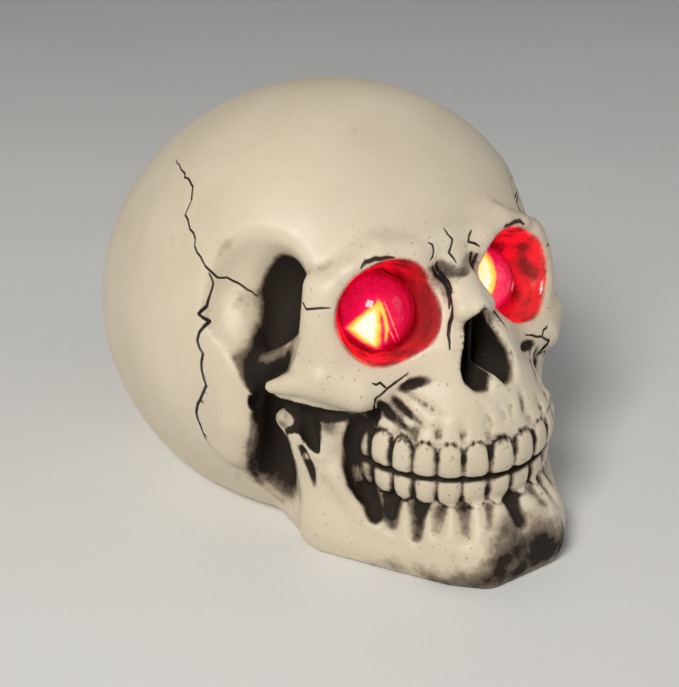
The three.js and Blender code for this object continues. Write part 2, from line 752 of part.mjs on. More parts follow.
// One crown: a squared ball that narrows towards the gum
function tooth(width, height, gumSide) {
  const geometry = new THREE.SphereGeometry(1, 8, 5);
  const places = geometry.attributes.position;
  const squared = (value, power) => Math.sign(value) * Math.abs(value) ** power;
  geometry.rotateX(Math.PI / 2);
  for (let i = 0; i < places.count; i += 1) {
    const z = squared(places.getZ(i), CROWN_UPRIGHTNESS);
    const taper = 1 - (CROWN_TAPER * (1 + z * gumSide)) / 2;
    places.setX(i, (squared(places.getX(i), CROWN_BREADTH) * taper * width) / 2);
    places.setY(i, (squared(places.getY(i), CROWN_UPRIGHTNESS) * TOOTH_THICKNESS) / 2);
    places.setZ(i, (z * height) / 2);
  }
  return geometry;
}

function toothRow(archRadius, height, centreZ, gumSide) {
  const crowns = [];
  const radius = archRadius - TOOTH_THICKNESS / 2;
  const shrink = archRadius / UPPER_ARCH_RADIUS;
  for (const side of [-1, 1]) {
    let along = 0;
    for (const width of TOOTH_WIDTHS) {
      const angle = (side * (along + width / 2)) / UPPER_ARCH_RADIUS;
      const crown = tooth(width * shrink * TOOTH_CROWDING, height, gumSide);
      crown.rotateZ(angle);
      crown.translate(radius * Math.sin(angle), ARCH_CENTRE_Y - radius * Math.cos(angle), centreZ);
      crowns.push(solid(crown));
      along += width;
    }
  }
  return crowns;
}

function teeth() {
  const upperZ = BITE_HEIGHT + BITE_GAP / 2 + UPPER_TOOTH_HEIGHT / 2;
  const lowerZ = BITE_HEIGHT - BITE_GAP / 2 - LOWER_TOOTH_HEIGHT / 2;
  const upper = toothRow(UPPER_ARCH_RADIUS, UPPER_TOOTH_HEIGHT, upperZ, 1);
  const lower = toothRow(LOWER_ARCH_RADIUS, LOWER_TOOTH_HEIGHT, lowerZ, -1);
  return joined([...upper, ...lower]);
}

// Pear outline of the nose opening, with the spine at its foot, cut from the front
function noseCut() {
  const shoulder = NOSE_WIDEST + (NOSE_TOP - NOSE_WIDEST) / 3;
  const shape = new THREE.Shape();
  shape.moveTo(0, NOSE_TOP);
  shape.bezierCurveTo(NOSE_SPINE, NOSE_TOP, NOSE_HALF_WIDTH, shoulder, NOSE_HALF_WIDTH, NOSE_WIDEST);
  shape.quadraticCurveTo(NOSE_HALF_WIDTH, NOSE_BOTTOM, NOSE_SPINE, NOSE_BOTTOM);
  shape.lineTo(0, NOSE_BOTTOM + NOSE_SPINE);
  shape.lineTo(-NOSE_SPINE, NOSE_BOTTOM);
  shape.quadraticCurveTo(-NOSE_HALF_WIDTH, NOSE_BOTTOM, -NOSE_HALF_WIDTH, NOSE_WIDEST);
  shape.bezierCurveTo(-NOSE_HALF_WIDTH, shoulder, -NOSE_SPINE, NOSE_TOP, 0, NOSE_TOP);
  const depth = CRANIUM_FRONT;
  const geometry = new THREE.ExtrudeGeometry(shape, { depth, bevelEnabled: false, curveSegments: 6 });
  geometry.rotateX(Math.PI / 2);
  geometry.translate(0, NOSE_BACK, 0);
  return solid(geometry);
}

function septum() {
  const half = SEPTUM_THICKNESS / 2;
  const sunk = SEPTUM_THICKNESS;
  return box([-half, SEPTUM_FRONT, NOSE_BOTTOM - sunk], [half, NOSE_BACK + sunk, NOSE_TOP - 2 * NOSE_SPINE]);
}

function boxScrewPlaces() {
  const x = BOX_HALF_WIDTH + FLANGE_WIDTH / 2;
  const front = FLANGE_FRONT_Y + FLANGE_WIDTH;
  const back = FLANGE_BACK_Y - FLANGE_WIDTH;
  return { front_right: [-x, front], front_left: [x, front], back_right: [-x, back], back_left: [x, back] };
}

// Opening in the base: a step for the flange, a way in for the box and holes for its screws
function baseCut() {
  const step = roundedRectangle(
    FLANGE_HALF_WIDTH + FIT,
    FLANGE_FRONT_Y - FIT,
    FLANGE_BACK_Y + FIT,
    FLANGE_CORNER + FIT,
  );
  const way = roundedRectangle(BOX_HALF_WIDTH + FIT, BOX_FRONT_Y - FIT, BOX_BACK_Y + FIT, BOX_WALL);
  const cuts = [slab(step, BASE_Z - PAST, FLANGE_TOP + FIT), slab(way, BASE_Z, BOX_TOP + FIT)];
  for (const [x, y] of Object.values(boxScrewPlaces())) {
    cuts.push(post(x, y, FLANGE_TOP, FLANGE_TOP + SCREW_BITE + FIT, SCREW_RADIUS + FIT, 12));
  }
  return joined(cuts);
}

function skullCasting() {
  let head = castingSkin().add(gums()).subtract(noseCut()).add(septum()).add(teeth());
  for (const side of [-1, 1]) head = head.subtract(socketCut(side)).subtract(eyeBore(side));
  return head.subtract(innerHollow()).subtract(baseCut());
}

// Eyes

// Quarter of a circle in a turned piece's profile, from its pole to its equator
function quarterRound(radius, centre, steps) {
  const points = [];
  for (let k = 0; k <= steps; k += 1) {
    const angle = (Math.PI / 2) * (k / steps);
    points.push([radius * Math.sin(angle), centre + radius * Math.cos(angle)]);
  }
  return points;
}

function eyeLens() {
  const inner = LENS_RADIUS - LENS_WALL;
  const profile = [
    ...quarterRound(LENS_RADIUS, 0, 4),
    [LENS_RADIUS, -LENS_SKIRT],
    [inner, -LENS_SKIRT],
    ...quarterRound(inner, 0, 4).reverse(),
  ];
  return solid(turnedForwards(profile, 18));
}

function led() {
  const flangeEnd = LED_FLANGE_START + LED_FLANGE_THICKNESS;
  const profile = [
    ...quarterRound(LED_RADIUS, LED_TIP - LED_RADIUS, 3),
    [LED_RADIUS, -LED_FLANGE_START],
    [LED_FLANGE_RADIUS, -LED_FLANGE_START],
    [LED_FLANGE_RADIUS, -flangeEnd],
    [0, -flangeEnd],
  ];
  const bodies = [solid(turnedForwards(profile, 10))];
  const half = LEAD_WIDTH / 2;
  for (const side of [-1, 1]) {
    const x = (side * LED_LEAD_SPACING) / 2;
    bodies.push(box([x - half, flangeEnd - half, -half], [x + half, flangeEnd + LED_LEAD_LENGTH, half]));
  }
  return joined(bodies);
}

function ledHolder() {
  const front = -LENS_SKIRT - 2 * FIT;
  const step = -LED_FLANGE_START + FIT;
  const end = -HOLDER_END - HOLDER_FLANGE_THICKNESS;
  const profile = [
    [HOLDER_INNER_RADIUS, front],
    [HOLDER_INNER_RADIUS, step],
    [HOLDER_SEAT_RADIUS, step],
    [HOLDER_SEAT_RADIUS, end],
    [HOLDER_FLANGE_RADIUS, end],
    [HOLDER_FLANGE_RADIUS, -HOLDER_END],
    [HOLDER_RADIUS, -HOLDER_END],
    [HOLDER_RADIUS, front],
    [HOLDER_INNER_RADIUS, front],
  ];
  return solid(turnedForwards(profile, 14));
}

// Battery box

// Screw with its seat at zero, its head below and its thread above
function screw(bite) {
  const profile = [
    [0, -SCREW_HEAD_HEIGHT],
    [SCREW_HEAD_RADIUS, -SCREW_HEAD_HEIGHT],
    [SCREW_HEAD_RADIUS, 0],
    [SCREW_RADIUS, 0],
    [SCREW_RADIUS, bite - SCREW_RADIUS],
    [0, bite],
  ];
  const reach = SCREW_HEAD_RADIUS + PAST;
  const half = SCREW_SLOT_WIDTH / 2;
  const low = -SCREW_HEAD_HEIGHT - PAST;
  const high = SCREW_SLOT_DEPTH - SCREW_HEAD_HEIGHT;
  const slot = box([-reach, -half, low], [reach, half, high]);
  const cross = box([-half, -reach, low], [half, reach, high]);
  return solid(turnedUpright(profile, 10)).subtract(slot).subtract(cross);
}

function batteryBox() {
  const outer = roundedRectangle(BOX_HALF_WIDTH, BOX_FRONT_Y, BOX_BACK_Y, BOX_WALL);
  const flange = roundedRectangle(FLANGE_HALF_WIDTH, FLANGE_FRONT_Y, FLANGE_BACK_Y, FLANGE_CORNER);
  const below = FLANGE_BOTTOM - PAST;
  const above = FLANGE_TOP + PAST;
  const doorway = box(
    [-BAY_HALF_WIDTH, BAY_FRONT, below],
    [BAY_HALF_WIDTH, BOSS_BACK - BOX_WALL, DOOR_TOP + FIT],
  );
  const bay = box([-BAY_HALF_WIDTH, BAY_FRONT, DOOR_TOP], [BAY_HALF_WIDTH, BAY_BACK, BAY_TOP]);
  const switchRoom = box(
    [-BAY_HALF_WIDTH, BOSS_BACK, FLANGE_TOP],
    [BAY_HALF_WIDTH, BOX_BACK_Y - BOX_WALL, BOX_TOP + PAST],
  );
  const knobWay = KNOB_LENGTH / 2 + SWITCH_TRAVEL / 2 + FIT;
  const knobSide = KNOB_WIDTH / 2 + FIT;
  const cuts = [
    doorway,
    bay,
    switchRoom,
    box([-knobWay, SWITCH_Y - knobSide, below], [knobWay, SWITCH_Y + knobSide, above]),
    post(0, DOOR_SCREW_Y, DOOR_TOP, DOOR_TOP + FIT + SCREW_BITE + FIT, SCREW_RADIUS + SCREW_PLAY, 12),
  ];
  const holes = [...Object.values(boxScrewPlaces()), [-SWITCH_SCREW_X, SWITCH_Y], [SWITCH_SCREW_X, SWITCH_Y]];
  for (const [x, y] of holes) cuts.push(post(x, y, below, above, SCREW_RADIUS + FIT, 10));
  const pinRadius = DOOR_PIN_RADIUS + DOOR_PIN_PLAY;
  const pinSpan = 2 * (BAY_HALF_WIDTH + DOOR_PIN_LENGTH);
  const pinHole = new THREE.CylinderGeometry(pinRadius, pinRadius, pinSpan, 12);
  pinHole.rotateZ(Math.PI / 2);
  pinHole.translate(0, DOOR_PIN_Y, DOOR_PIN_Z);
  cuts.push(solid(pinHole));
  const tabHalf = TAB_WIDTH / 2 + FIT;
  for (const x of [-CELL_X, CELL_X]) {
    cuts.push(box([x - tabHalf, BACK_SEAT, BAY_TOP - PAST], [x + tabHalf, BAY_BACK, BOX_TOP + PAST]));
  }
  const posts = [];
  const postX = BOARD_WIDTH / 2 - POST_INSET;
  const postY = BOARD_LENGTH / 2 - POST_INSET;
  for (const x of [-postX, postX]) {
    for (const y of [BOARD_Y - postY, BOARD_Y + postY]) {
      posts.push(post(x, y, BAY_TOP + FIT, BOX_TOP + POST_HEIGHT, POST_RADIUS, 8));
    }
  }
  const tray = slab(flange, FLANGE_BOTTOM, FLANGE_TOP, 4).add(slab(outer, FLANGE_BOTTOM, BOX_TOP, 4));
  return tray.subtract(joined(cuts)).add(joined(posts));
}

// Lid with a round front edge about its pins, finger ribs at the back and a hole for its screw
function batteryDoor() {
  const radius = DOOR_THICKNESS / 2;
  const outline = new THREE.Shape();
  outline.moveTo(DOOR_BACK, DOOR_BOTTOM);
  outline.lineTo(DOOR_BACK, DOOR_TOP);
  outline.lineTo(DOOR_PIN_Y, DOOR_TOP);
  outline.absarc(DOOR_PIN_Y, DOOR_PIN_Z, radius, Math.PI / 2, Math.PI * 1.5);
  const width = 2 * (BAY_HALF_WIDTH - DOOR_GAP);
  const plate = new THREE.ExtrudeGeometry(outline, { depth: width, bevelEnabled: false, curveSegments: 8 });
  plate.translate(0, 0, -width / 2);
  plate.rotateY(Math.PI / 2);
  plate.rotateX(Math.PI / 2);
  const pinSpan = 2 * (BAY_HALF_WIDTH + DOOR_PIN_LENGTH - FIT);
  const pin = new THREE.CylinderGeometry(DOOR_PIN_RADIUS, DOOR_PIN_RADIUS, pinSpan, 12);
  pin.rotateZ(Math.PI / 2);
  pin.translate(0, DOOR_PIN_Y, DOOR_PIN_Z);
  const cuts = [post(0, DOOR_SCREW_Y, DOOR_BOTTOM - PAST, DOOR_TOP + PAST, SCREW_RADIUS + FIT, 12)];
  for (let k = 0; k < GRIP_RIBS; k += 1) {
    const y = BAY_BACK - GRIP_START - k * GRIP_PITCH;
    const half = GRIP_PITCH / 4;
    const reach = BAY_HALF_WIDTH / 2;
    cuts.push(box([-reach, y - half, DOOR_BOTTOM - PAST], [reach, y + half, DOOR_BOTTOM + GRIP_DEPTH]));
  }
  return solid(plate).add(solid(pin)).subtract(joined(cuts));
}

// One cell along Y, its nipple towards the back or the front
function cell(side) {
  const shoulder = CELL_LENGTH - CELL_NIPPLE;
  const profile = [
    [0, 0],
    [CELL_RADIUS - CELL_EDGE, 0],
    [CELL_RADIUS, CELL_EDGE],
    [CELL_RADIUS, shoulder - CELL_EDGE],
    [CELL_RADIUS - CELL_EDGE, shoulder],
    [CELL_NIPPLE_RADIUS, shoulder],
    [CELL_NIPPLE_RADIUS, CELL_LENGTH],
    [0, CELL_LENGTH],
  ];
  const geometry = turnedForwards(profile, 16);
  if (side < 0) geometry.rotateZ(Math.PI);
  const flatEnd = side > 0 ? FRONT_SEAT + CELL_LENGTH : BACK_SEAT - CELL_LENGTH;
  geometry.translate(side * CELL_X, flatEnd, CELL_Z);
  return solid(geometry);
}

// Tapered coil along +Y from its plate to the flat end of a cell
function spring(side) {
  const length = SPRING_LENGTH - 2 * SPRING_WIRE;
  const steps = SPRING_TURNS * 8;
  const sides = 4;
  const rings = [];
  const centres = [];
  for (let step = 0; step <= steps; step += 1) {
    const t = step / steps;
    const turn = 2 * Math.PI * SPRING_TURNS * t;
    const radius = SPRING_RADIUS + (SPRING_TIP_RADIUS - SPRING_RADIUS) * t;
    const outwards = new THREE.Vector3(Math.cos(turn), 0, Math.sin(turn));
    const centre = outwards.clone().multiplyScalar(radius);
    centre.y = SPRING_WIRE + length * t;
    const ring = [];
    for (let k = 0; k < sides; k += 1) {
      const angle = (2 * Math.PI * k) / sides;
      const point = centre.clone().addScaledVector(outwards, SPRING_WIRE * Math.cos(angle));
      point.y += SPRING_WIRE * Math.sin(angle);
      ring.push(point);
    }
    rings.push(ring);
    centres.push(centre);
  }
  const geometry = skin(rings, centres[0], centres[steps]);
  if (side > 0) geometry.rotateZ(Math.PI);
  geometry.translate(side * CELL_X, side > 0 ? BACK_SEAT : FRONT_SEAT, CELL_Z);
  return solid(geometry);
}

function contactBridge() {
  const reach = CELL_X + CONTACT_HALF;
  const front = BAY_FRONT + FIT;
  return box([-reach, front, CONTACT_LOW], [reach, front + CONTACT_THICKNESS, CONTACT_HIGH]);
}

// Plate at the back of the bay with a solder tab that stands through the roof
function contactPlate(side) {
  const back = BAY_BACK - FIT;
  const front = back - CONTACT_THICKNESS;
  const x = side * CELL_X;
  const half = TAB_WIDTH / 2;
  const plate = box([x - CONTACT_HALF, front, CONTACT_LOW], [x + CONTACT_HALF, back, CONTACT_HIGH]);
  return plate.add(box([x - half, front, CELL_Z], [x + half, back, BOX_TOP + TAB_RISE]));
}

// Slide switch, along X about its own middle

function switchBody() {
  const halfLength = SWITCH_LENGTH / 2;
  const halfWidth = SWITCH_WIDTH / 2;
  const reach = halfLength + SWITCH_EAR;
  const low = SWITCH_PLATE_BOTTOM;
  const top = low + SWITCH_HEIGHT;
  const plate = box([-reach, -halfWidth, low], [reach, halfWidth, low + SWITCH_PLATE]);
  const can = box([-halfLength, -halfWidth, low], [halfLength, halfWidth, top]);
  const room = box(
    [SWITCH_WALL - halfLength, SWITCH_WALL - halfWidth, low + SWITCH_PLATE],
    [halfLength - SWITCH_WALL, halfWidth - SWITCH_WALL, SLIDER_PLATE_TOP + FIT],
  );
  const knobWay = KNOB_LENGTH / 2 + SWITCH_TRAVEL / 2 + FIT;
  const knobSide = KNOB_WIDTH / 2 + FIT;
  const slot = box([-knobWay, -knobSide, low - PAST], [knobWay, knobSide, SLIDER_PLATE_BOTTOM]);
  const terminals = [];
  const halfBlade = TERMINAL_WIDTH / 2;
  const halfSheet = TERMINAL_THICKNESS / 2;
  for (const x of [-SWITCH_LENGTH / 4, SWITCH_LENGTH / 4]) {
    const foot = [x - halfBlade, -halfSheet, top - halfSheet];
    terminals.push(box(foot, [x + halfBlade, halfSheet, top + TERMINAL_RISE]));
  }
  const holes = [-SWITCH_SCREW_X, SWITCH_SCREW_X].map((x) => (
    post(x, 0, low - PAST, low + SWITCH_PLATE + PAST, SCREW_RADIUS + FIT, 12)
  ));
  return joined([plate, can, ...terminals]).subtract(joined([room, slot, ...holes]));
}

function switchSlider() {
  const halfLength = (SWITCH_LENGTH - SWITCH_TRAVEL) / 2 - SLIDER_ROOM;
  const halfWidth = SWITCH_WIDTH / 2 - SLIDER_ROOM;
  const tip = FLANGE_BOTTOM - KNOB_REACH;
  const halfNotch = KNOB_LENGTH / 8;
  const knobX = KNOB_LENGTH / 2;
  const knobY = KNOB_WIDTH / 2;
  const top = SLIDER_PLATE_TOP;
  const plate = box([-halfLength, -halfWidth, SLIDER_PLATE_BOTTOM], [halfLength, halfWidth, top]);
  const knob = box([-knobX, -knobY, tip], [knobX, knobY, top]);
  const notch = box([-halfNotch, -KNOB_WIDTH, tip - PAST], [halfNotch, KNOB_WIDTH, tip + KNOB_NOTCH]);
  return plate.add(knob).subtract(notch);
}

// Board and wires

function circuitBoard() {
  const x = BOARD_WIDTH / 2;
  const y = BOARD_LENGTH / 2;
  return box([-x, BOARD_Y - y, BOARD_BOTTOM], [x, BOARD_Y + y, BOARD_TOP]);
}

function resistor(side) {
  const half = RESISTOR_LENGTH / 2;
  const profile = [
    [0, -half],
    [RESISTOR_RADIUS, -half],
    [RESISTOR_RADIUS, RESISTOR_BAND - half],
    [RESISTOR_WAIST, RESISTOR_BAND - half],
    [RESISTOR_WAIST, half - RESISTOR_BAND],
    [RESISTOR_RADIUS, half - RESISTOR_BAND],
    [RESISTOR_RADIUS, half],
    [0, half],
  ];
  const x = side * RESISTOR_X;
  const height = BOARD_TOP + FIT + RESISTOR_RADIUS;
  const geometry = turnedForwards(profile, 8);
  geometry.translate(x, BOARD_Y, height);
  const bodies = [solid(geometry)];
  const thin = LEAD_WIDTH / 2;
  const reach = half + RESISTOR_RADIUS;
  bodies.push(box([x - thin, BOARD_Y - reach, height - thin], [x + thin, BOARD_Y + reach, height + thin]));
  for (const y of [BOARD_Y - reach + thin, BOARD_Y + reach - thin]) {
    bodies.push(box([x - thin, y - thin, BOARD_TOP + FIT], [x + thin, y + thin, height + thin]));
  }
  return joined(bodies);
}

function wire(points) {
  const path = new THREE.CatmullRomCurve3(points.map((point) => new THREE.Vector3(...point)));
  const section = new THREE.Shape();
  section.absarc(0, 0, WIRE_RADIUS, 0, 2 * Math.PI);
  const steps = 2 * (points.length - 1);
  const options = { steps, extrudePath: path, bevelEnabled: false, curveSegments: 3 };
  return solid(new THREE.ExtrudeGeometry(section, options));
}

// From a lamp's lead back and down the front wall of the hollow to the board's edge
function ledWire(side, lead) {
  const x = side * EYE_X + (lead * LED_LEAD_SPACING) / 2;
  const padX = side * (BOARD_WIDTH / 2 - PAD_INSET) + ((lead - side) * PAD_PITCH) / 2;
  const spread = lead * WIRE_RADIUS;
  const half = (EYE_Z + PAD_Z) / 2;
  return wire([
    [x, LEAD_END_Y + FIT, EYE_Z],
    [x, LEAD_END_Y + WIRE_BEND, EYE_Z - WIRE_RADIUS],
    [x + spread, LEAD_END_Y + 2 * WIRE_BEND, EYE_Z - 2 * WIRE_BEND],
    [x + spread, (LEAD_END_Y + PAD_FRONT_Y) / 2 - WIRE_BEND, half],
    [padX, PAD_FRONT_Y - 3 * WIRE_BEND, PAD_Z + 2 * WIRE_BEND],
    [padX, PAD_FRONT_Y - WIRE_BEND, PAD_Z + WIRE_RADIUS],
    [padX, PAD_FRONT_Y, PAD_Z],
  ]);
}

// From a solder tab to the back edge of the board
function tabWire(side) {
  const x = side * CELL_X;
  const tabFront = BAY_BACK - FIT - CONTACT_THICKNESS;
  const z = BOX_TOP + TAB_RISE - WIRE_RADIUS;
  return wire([
    [x, tabFront - FIT, z],
    [x, tabFront - WIRE_BEND, z + WIRE_RADIUS],
    [x, PAD_BACK_Y + WIRE_BEND, PAD_Z + WIRE_RADIUS],
    [x, PAD_BACK_Y, PAD_Z],
  ]);
}

function switchWire() {
  const top = SWITCH_PLATE_BOTTOM + SWITCH_HEIGHT + TERMINAL_RISE;
  const x = SWITCH_LENGTH / 4;
  return wire([
    [x, SWITCH_Y, top + FIT],
    [x, SWITCH_Y, top + WIRE_BEND],
    [x / 2, SWITCH_Y - 2 * WIRE_BEND, top + 3 * WIRE_BEND],
    [0, BAY_BACK - WIRE_BEND, PAD_Z + WIRE_BEND],
    [0, PAD_BACK_Y + WIRE_BEND, PAD_Z + WIRE_RADIUS],
    [0, PAD_BACK_Y, PAD_Z],
  ]);
}

// Materials and the assembly

function material(color, roughness, metalness = 0) {
  return new THREE.MeshStandardMaterial({ color, roughness, metalness });
}

const object = new THREE.Group();
const sides = { right: -1, left: 1 };

function piece(name, body, look, place = [0, 0, 0]) {
  const mesh = new THREE.Mesh(geometryOf(body), look);
  mesh.name = name;
  mesh.position.set(...place);
  object.add(mesh);
}

function screwAt(name, bite, place) {
  piece(name, screw(bite), material(0xb8b8ba, 0.35, 1), place);
}

function contactPiece(name, body) {
  piece(name, body, material(0xc8c8c8, 0.3, 1));
}

function wirePiece(name, body, color) {
  piece(name, body, material(color, 0.5));
}

const WIRE_RED = 0xb01818;
const WIRE_BLACK = 0x181818;

piece('skull_casting', skullCasting(), material(0xd9cbb0, 0.6));
for (const [name, side] of Object.entries(sides)) {
  const eye = [side * EYE_X, EYE_Y, EYE_Z];
  const red = material(0xd01030, 0.15);
  red.transparent = true;
  red.opacity = 0.75;
  piece(`eye_lens_${name}`, eyeLens(), red, eye);
  piece(`led_${name}`, led(), material(0xfff2c0, 0.2), eye);
  piece(`led_holder_${name}`, ledHolder(), material(0x1c1c1e, 0.7), eye);
}
piece('battery_box', batteryBox(), material(0x202022, 0.6));
piece('battery_door', batteryDoor(), material(0x262628, 0.6));
screwAt('door_screw', FIT + DOOR_THICKNESS + FIT + SCREW_BITE - FIT, [0, DOOR_SCREW_Y, DOOR_BOTTOM - FIT]);
for (const [name, [x, y]] of Object.entries(boxScrewPlaces())) {
  screwAt(`box_screw_${name}`, FIT + FLANGE_THICKNESS + SCREW_BITE, [x, y, FLANGE_BOTTOM - FIT]);
}
for (const [name, side] of Object.entries(sides)) {
  piece(`cell_${name}`, cell(side), material(0x9a9aa0, 0.35, 0.6));
}
contactPiece('spring_front', spring(-1));
contactPiece('spring_rear', spring(1));
contactPiece('contact_bridge', contactBridge());
contactPiece('contact_positive', contactPlate(-1));
contactPiece('contact_negative', contactPlate(1));
piece('switch_body', switchBody(), material(0xb0b0b2, 0.35, 0.9), [0, SWITCH_Y, 0]);
piece('switch_slider', switchSlider(), material(0x1a1a1a, 0.6), [SWITCH_TRAVEL / 2, SWITCH_Y, 0]);
for (const [name, side] of Object.entries(sides)) {
  const bite = FIT + FLANGE_THICKNESS + FIT + SWITCH_PLATE + SCREW_END;
  screwAt(`switch_screw_${name}`, bite, [side * SWITCH_SCREW_X, SWITCH_Y, FLANGE_BOTTOM - FIT]);
}
piece('circuit_board', circuitBoard(), material(0x1e5a34, 0.5));
for (const [name, side] of Object.entries(sides)) {
  piece(`resistor_${name}`, resistor(side), material(0xcfae7c, 0.5));
  wirePiece(`wire_led_${name}_red`, ledWire(side, 1), WIRE_RED);
  wirePiece(`wire_led_${name}_black`, ledWire(side, -1), WIRE_BLACK);
}
wirePiece('wire_positive', tabWire(-1), WIRE_RED);
wirePiece('wire_negative', tabWire(1), WIRE_BLACK);
wirePiece('wire_switch', switchWire(), WIRE_RED);

export default object;
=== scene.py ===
import math

import bmesh
import bpy
import numpy as np
from mathutils import Matrix, Vector
from mathutils.bvhtree import BVHTree
from mathutils.kdtree import KDTree


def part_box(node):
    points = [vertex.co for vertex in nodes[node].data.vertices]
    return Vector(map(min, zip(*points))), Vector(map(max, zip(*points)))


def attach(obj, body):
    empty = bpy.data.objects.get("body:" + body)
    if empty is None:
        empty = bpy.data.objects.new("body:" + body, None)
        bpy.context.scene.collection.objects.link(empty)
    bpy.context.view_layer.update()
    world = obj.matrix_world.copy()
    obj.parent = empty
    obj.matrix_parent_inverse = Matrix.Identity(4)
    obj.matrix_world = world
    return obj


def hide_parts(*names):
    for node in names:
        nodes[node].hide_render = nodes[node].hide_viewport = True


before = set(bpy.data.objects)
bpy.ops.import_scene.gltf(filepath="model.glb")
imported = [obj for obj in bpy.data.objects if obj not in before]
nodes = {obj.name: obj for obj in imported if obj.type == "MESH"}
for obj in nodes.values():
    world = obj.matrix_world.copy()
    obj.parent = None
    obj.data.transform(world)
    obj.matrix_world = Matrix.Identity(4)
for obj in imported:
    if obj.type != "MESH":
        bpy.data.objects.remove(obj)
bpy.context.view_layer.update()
MM = 0.001
DEG = math.pi / 180
TINY = 1e-6

# A distance far outside, and the corners of a box that holds everything
FAR = 50.0
LOWEST = (-200, -200, -200)
HIGHEST = (200, 200, 200)

# The sculpted forms below are signed distances in millimetres, blended on a grid and then skinned


def smooth_min(a, b, width):
    share = np.clip(0.5 + 0.5 * (b - a) / width, 0.0, 1.0)
    return b + (a - b) * share - width * share * (1.0 - share)


def smooth_max(a, b, width):
    return -smooth_min(-a, -b, width)


class Field:
    """Distances on a rectilinear grid over the left half of the skull."""

    def __init__(self, axes):
        self.axes = axes
        self.value = np.full([len(axis) for axis in axes], FAR, dtype=np.float32)
        self.filled = self.value.copy()

    def window(self, low, high):
        cut = []
        for axis, a, b in zip(self.axes, low, high):
            first = max(0, int(np.searchsorted(axis, a)) - 1)
            last = min(len(axis), int(np.searchsorted(axis, b)) + 1)
            cut.append(slice(first, max(last, first + 1)))
        x = self.axes[0][cut[0]][:, None, None]
        y = self.axes[1][cut[1]][None, :, None]
        z = self.axes[2][cut[2]][None, None, :]
        return tuple(cut), x, y, z

    def add(self, shape, blend, low=LOWEST, high=HIGHEST):
        cut, x, y, z = self.window(low, high)
        distance = shape(x, y, z)
        self.value[cut] = smooth_min(self.value[cut], distance, blend)
        self.filled[cut] = smooth_min(self.filled[cut], distance, blend)

    def dig(self, shape, blend, low=LOWEST, high=HIGHEST, washed_and_shaded=False):
        """Takes a form away. A hole with painted wash and shade stays closed in the filled copy, which tells
        its depth.
        """
        cut, x, y, z = self.window(low, high)
        distance = shape(x, y, z)
        self.value[cut] = smooth_max(self.value[cut], -distance, blend)
        if not washed_and_shaded:
            self.filled[cut] = smooth_max(self.filled[cut], -distance, blend)

    def sample(self, points, filled=False):
        """Distance at each point, between the grid's corners."""
        values = self.filled if filled else self.value
        places = np.stack([np.abs(points[:, 0]), points[:, 1], points[:, 2]], 1)
        cell = []
        part = []
        for k, axis in enumerate(self.axes):
            index = np.clip(np.searchsorted(axis, places[:, k]) - 1, 0, len(axis) - 2)
            cell.append(index)
            part.append(np.clip((places[:, k] - axis[index]) / (axis[index + 1] - axis[index]), 0, 1))
        total = np.zeros(len(points))
        for corner in range(8):
            step = (corner & 1, corner >> 1 & 1, corner >> 2 & 1)
            weight = np.ones(len(points))
            for k in range(3):
                weight = weight * (part[k] if step[k] else 1 - part[k])
            total += weight * values[cell[0] + step[0], cell[1] + step[1], cell[2] + step[2]]
        return total


def rotation(yaw=0.0, pitch=0.0, roll=0.0):
    turn = Matrix.Rotation(yaw, 3, "Z") @ Matrix.Rotation(pitch, 3, "X") @ Matrix.Rotation(roll, 3, "Y")
    return np.array(turn)


STRAIGHT = np.eye(3)


def local(x, y, z, centre, turn):
    dx, dy, dz = x - centre[0], y - centre[1], z - centre[2]
    return [turn[0, k] * dx + turn[1, k] * dy + turn[2, k] * dz for k in range(3)]


def scaled_distance(scale, slopes):
    """About the distance to a surface where the scale is 1, from the scale and its slopes."""
    slope = np.sqrt(sum(value * value for value in slopes)) + TINY
    return (scale + TINY) * (scale - 1.0) / slope


def ellipsoid(centre, half, turn=STRAIGHT):
    def shape(x, y, z):
        parts = [np.abs(v) / h for v, h in zip(local(x, y, z, centre, turn), half)]
        scale = np.sqrt(sum(v * v for v in parts))
        return scaled_distance(scale, [v / h for v, h in zip(parts, half)])
    return shape


def flat_ellipse(u, v, half_u, half_v, power):
    a, b = np.abs(u) / half_u, np.abs(v) / half_v
    scale = (a ** power + b ** power) ** (1 / power)
    return scaled_distance(scale, [a / half_u, b / half_v])


def bar(p, q, start, end):
    p, q = np.asarray(p, float), np.asarray(q, float)
    axis = q - p
    length = float(axis @ axis)

    def shape(x, y, z):
        dx, dy, dz = x - p[0], y - p[1], z - p[2]
        t = np.clip((dx * axis[0] + dy * axis[1] + dz * axis[2]) / length, 0, 1)
        ex, ey, ez = dx - t * axis[0], dy - t * axis[1], dz - t * axis[2]
        return np.sqrt(ex * ex + ey * ey + ez * ez) - start - (end - start) * t
    return shape


def bone(*points):
    """Tapered bar through points of x, y, z and radius."""
    bars = [bar(p[:3], q[:3], p[3], q[3]) for p, q in zip(points, points[1:])]

    def shape(x, y, z):
        nearest = bars[0](x, y, z)
        for part in bars[1:]:
            nearest = np.minimum(nearest, part(x, y, z))
        return nearest
    return shape


def rounded_box(centre, half, corner, turn=STRAIGHT):
    def shape(x, y, z):
        over = [np.abs(v) - h + corner for v, h in zip(local(x, y, z, centre, turn), half)]
        outside = np.sqrt(sum(np.maximum(v, 0) ** 2 for v in over))
        return outside + np.minimum(np.maximum(np.maximum(over[0], over[1]), over[2]), 0) - corner
    return shape


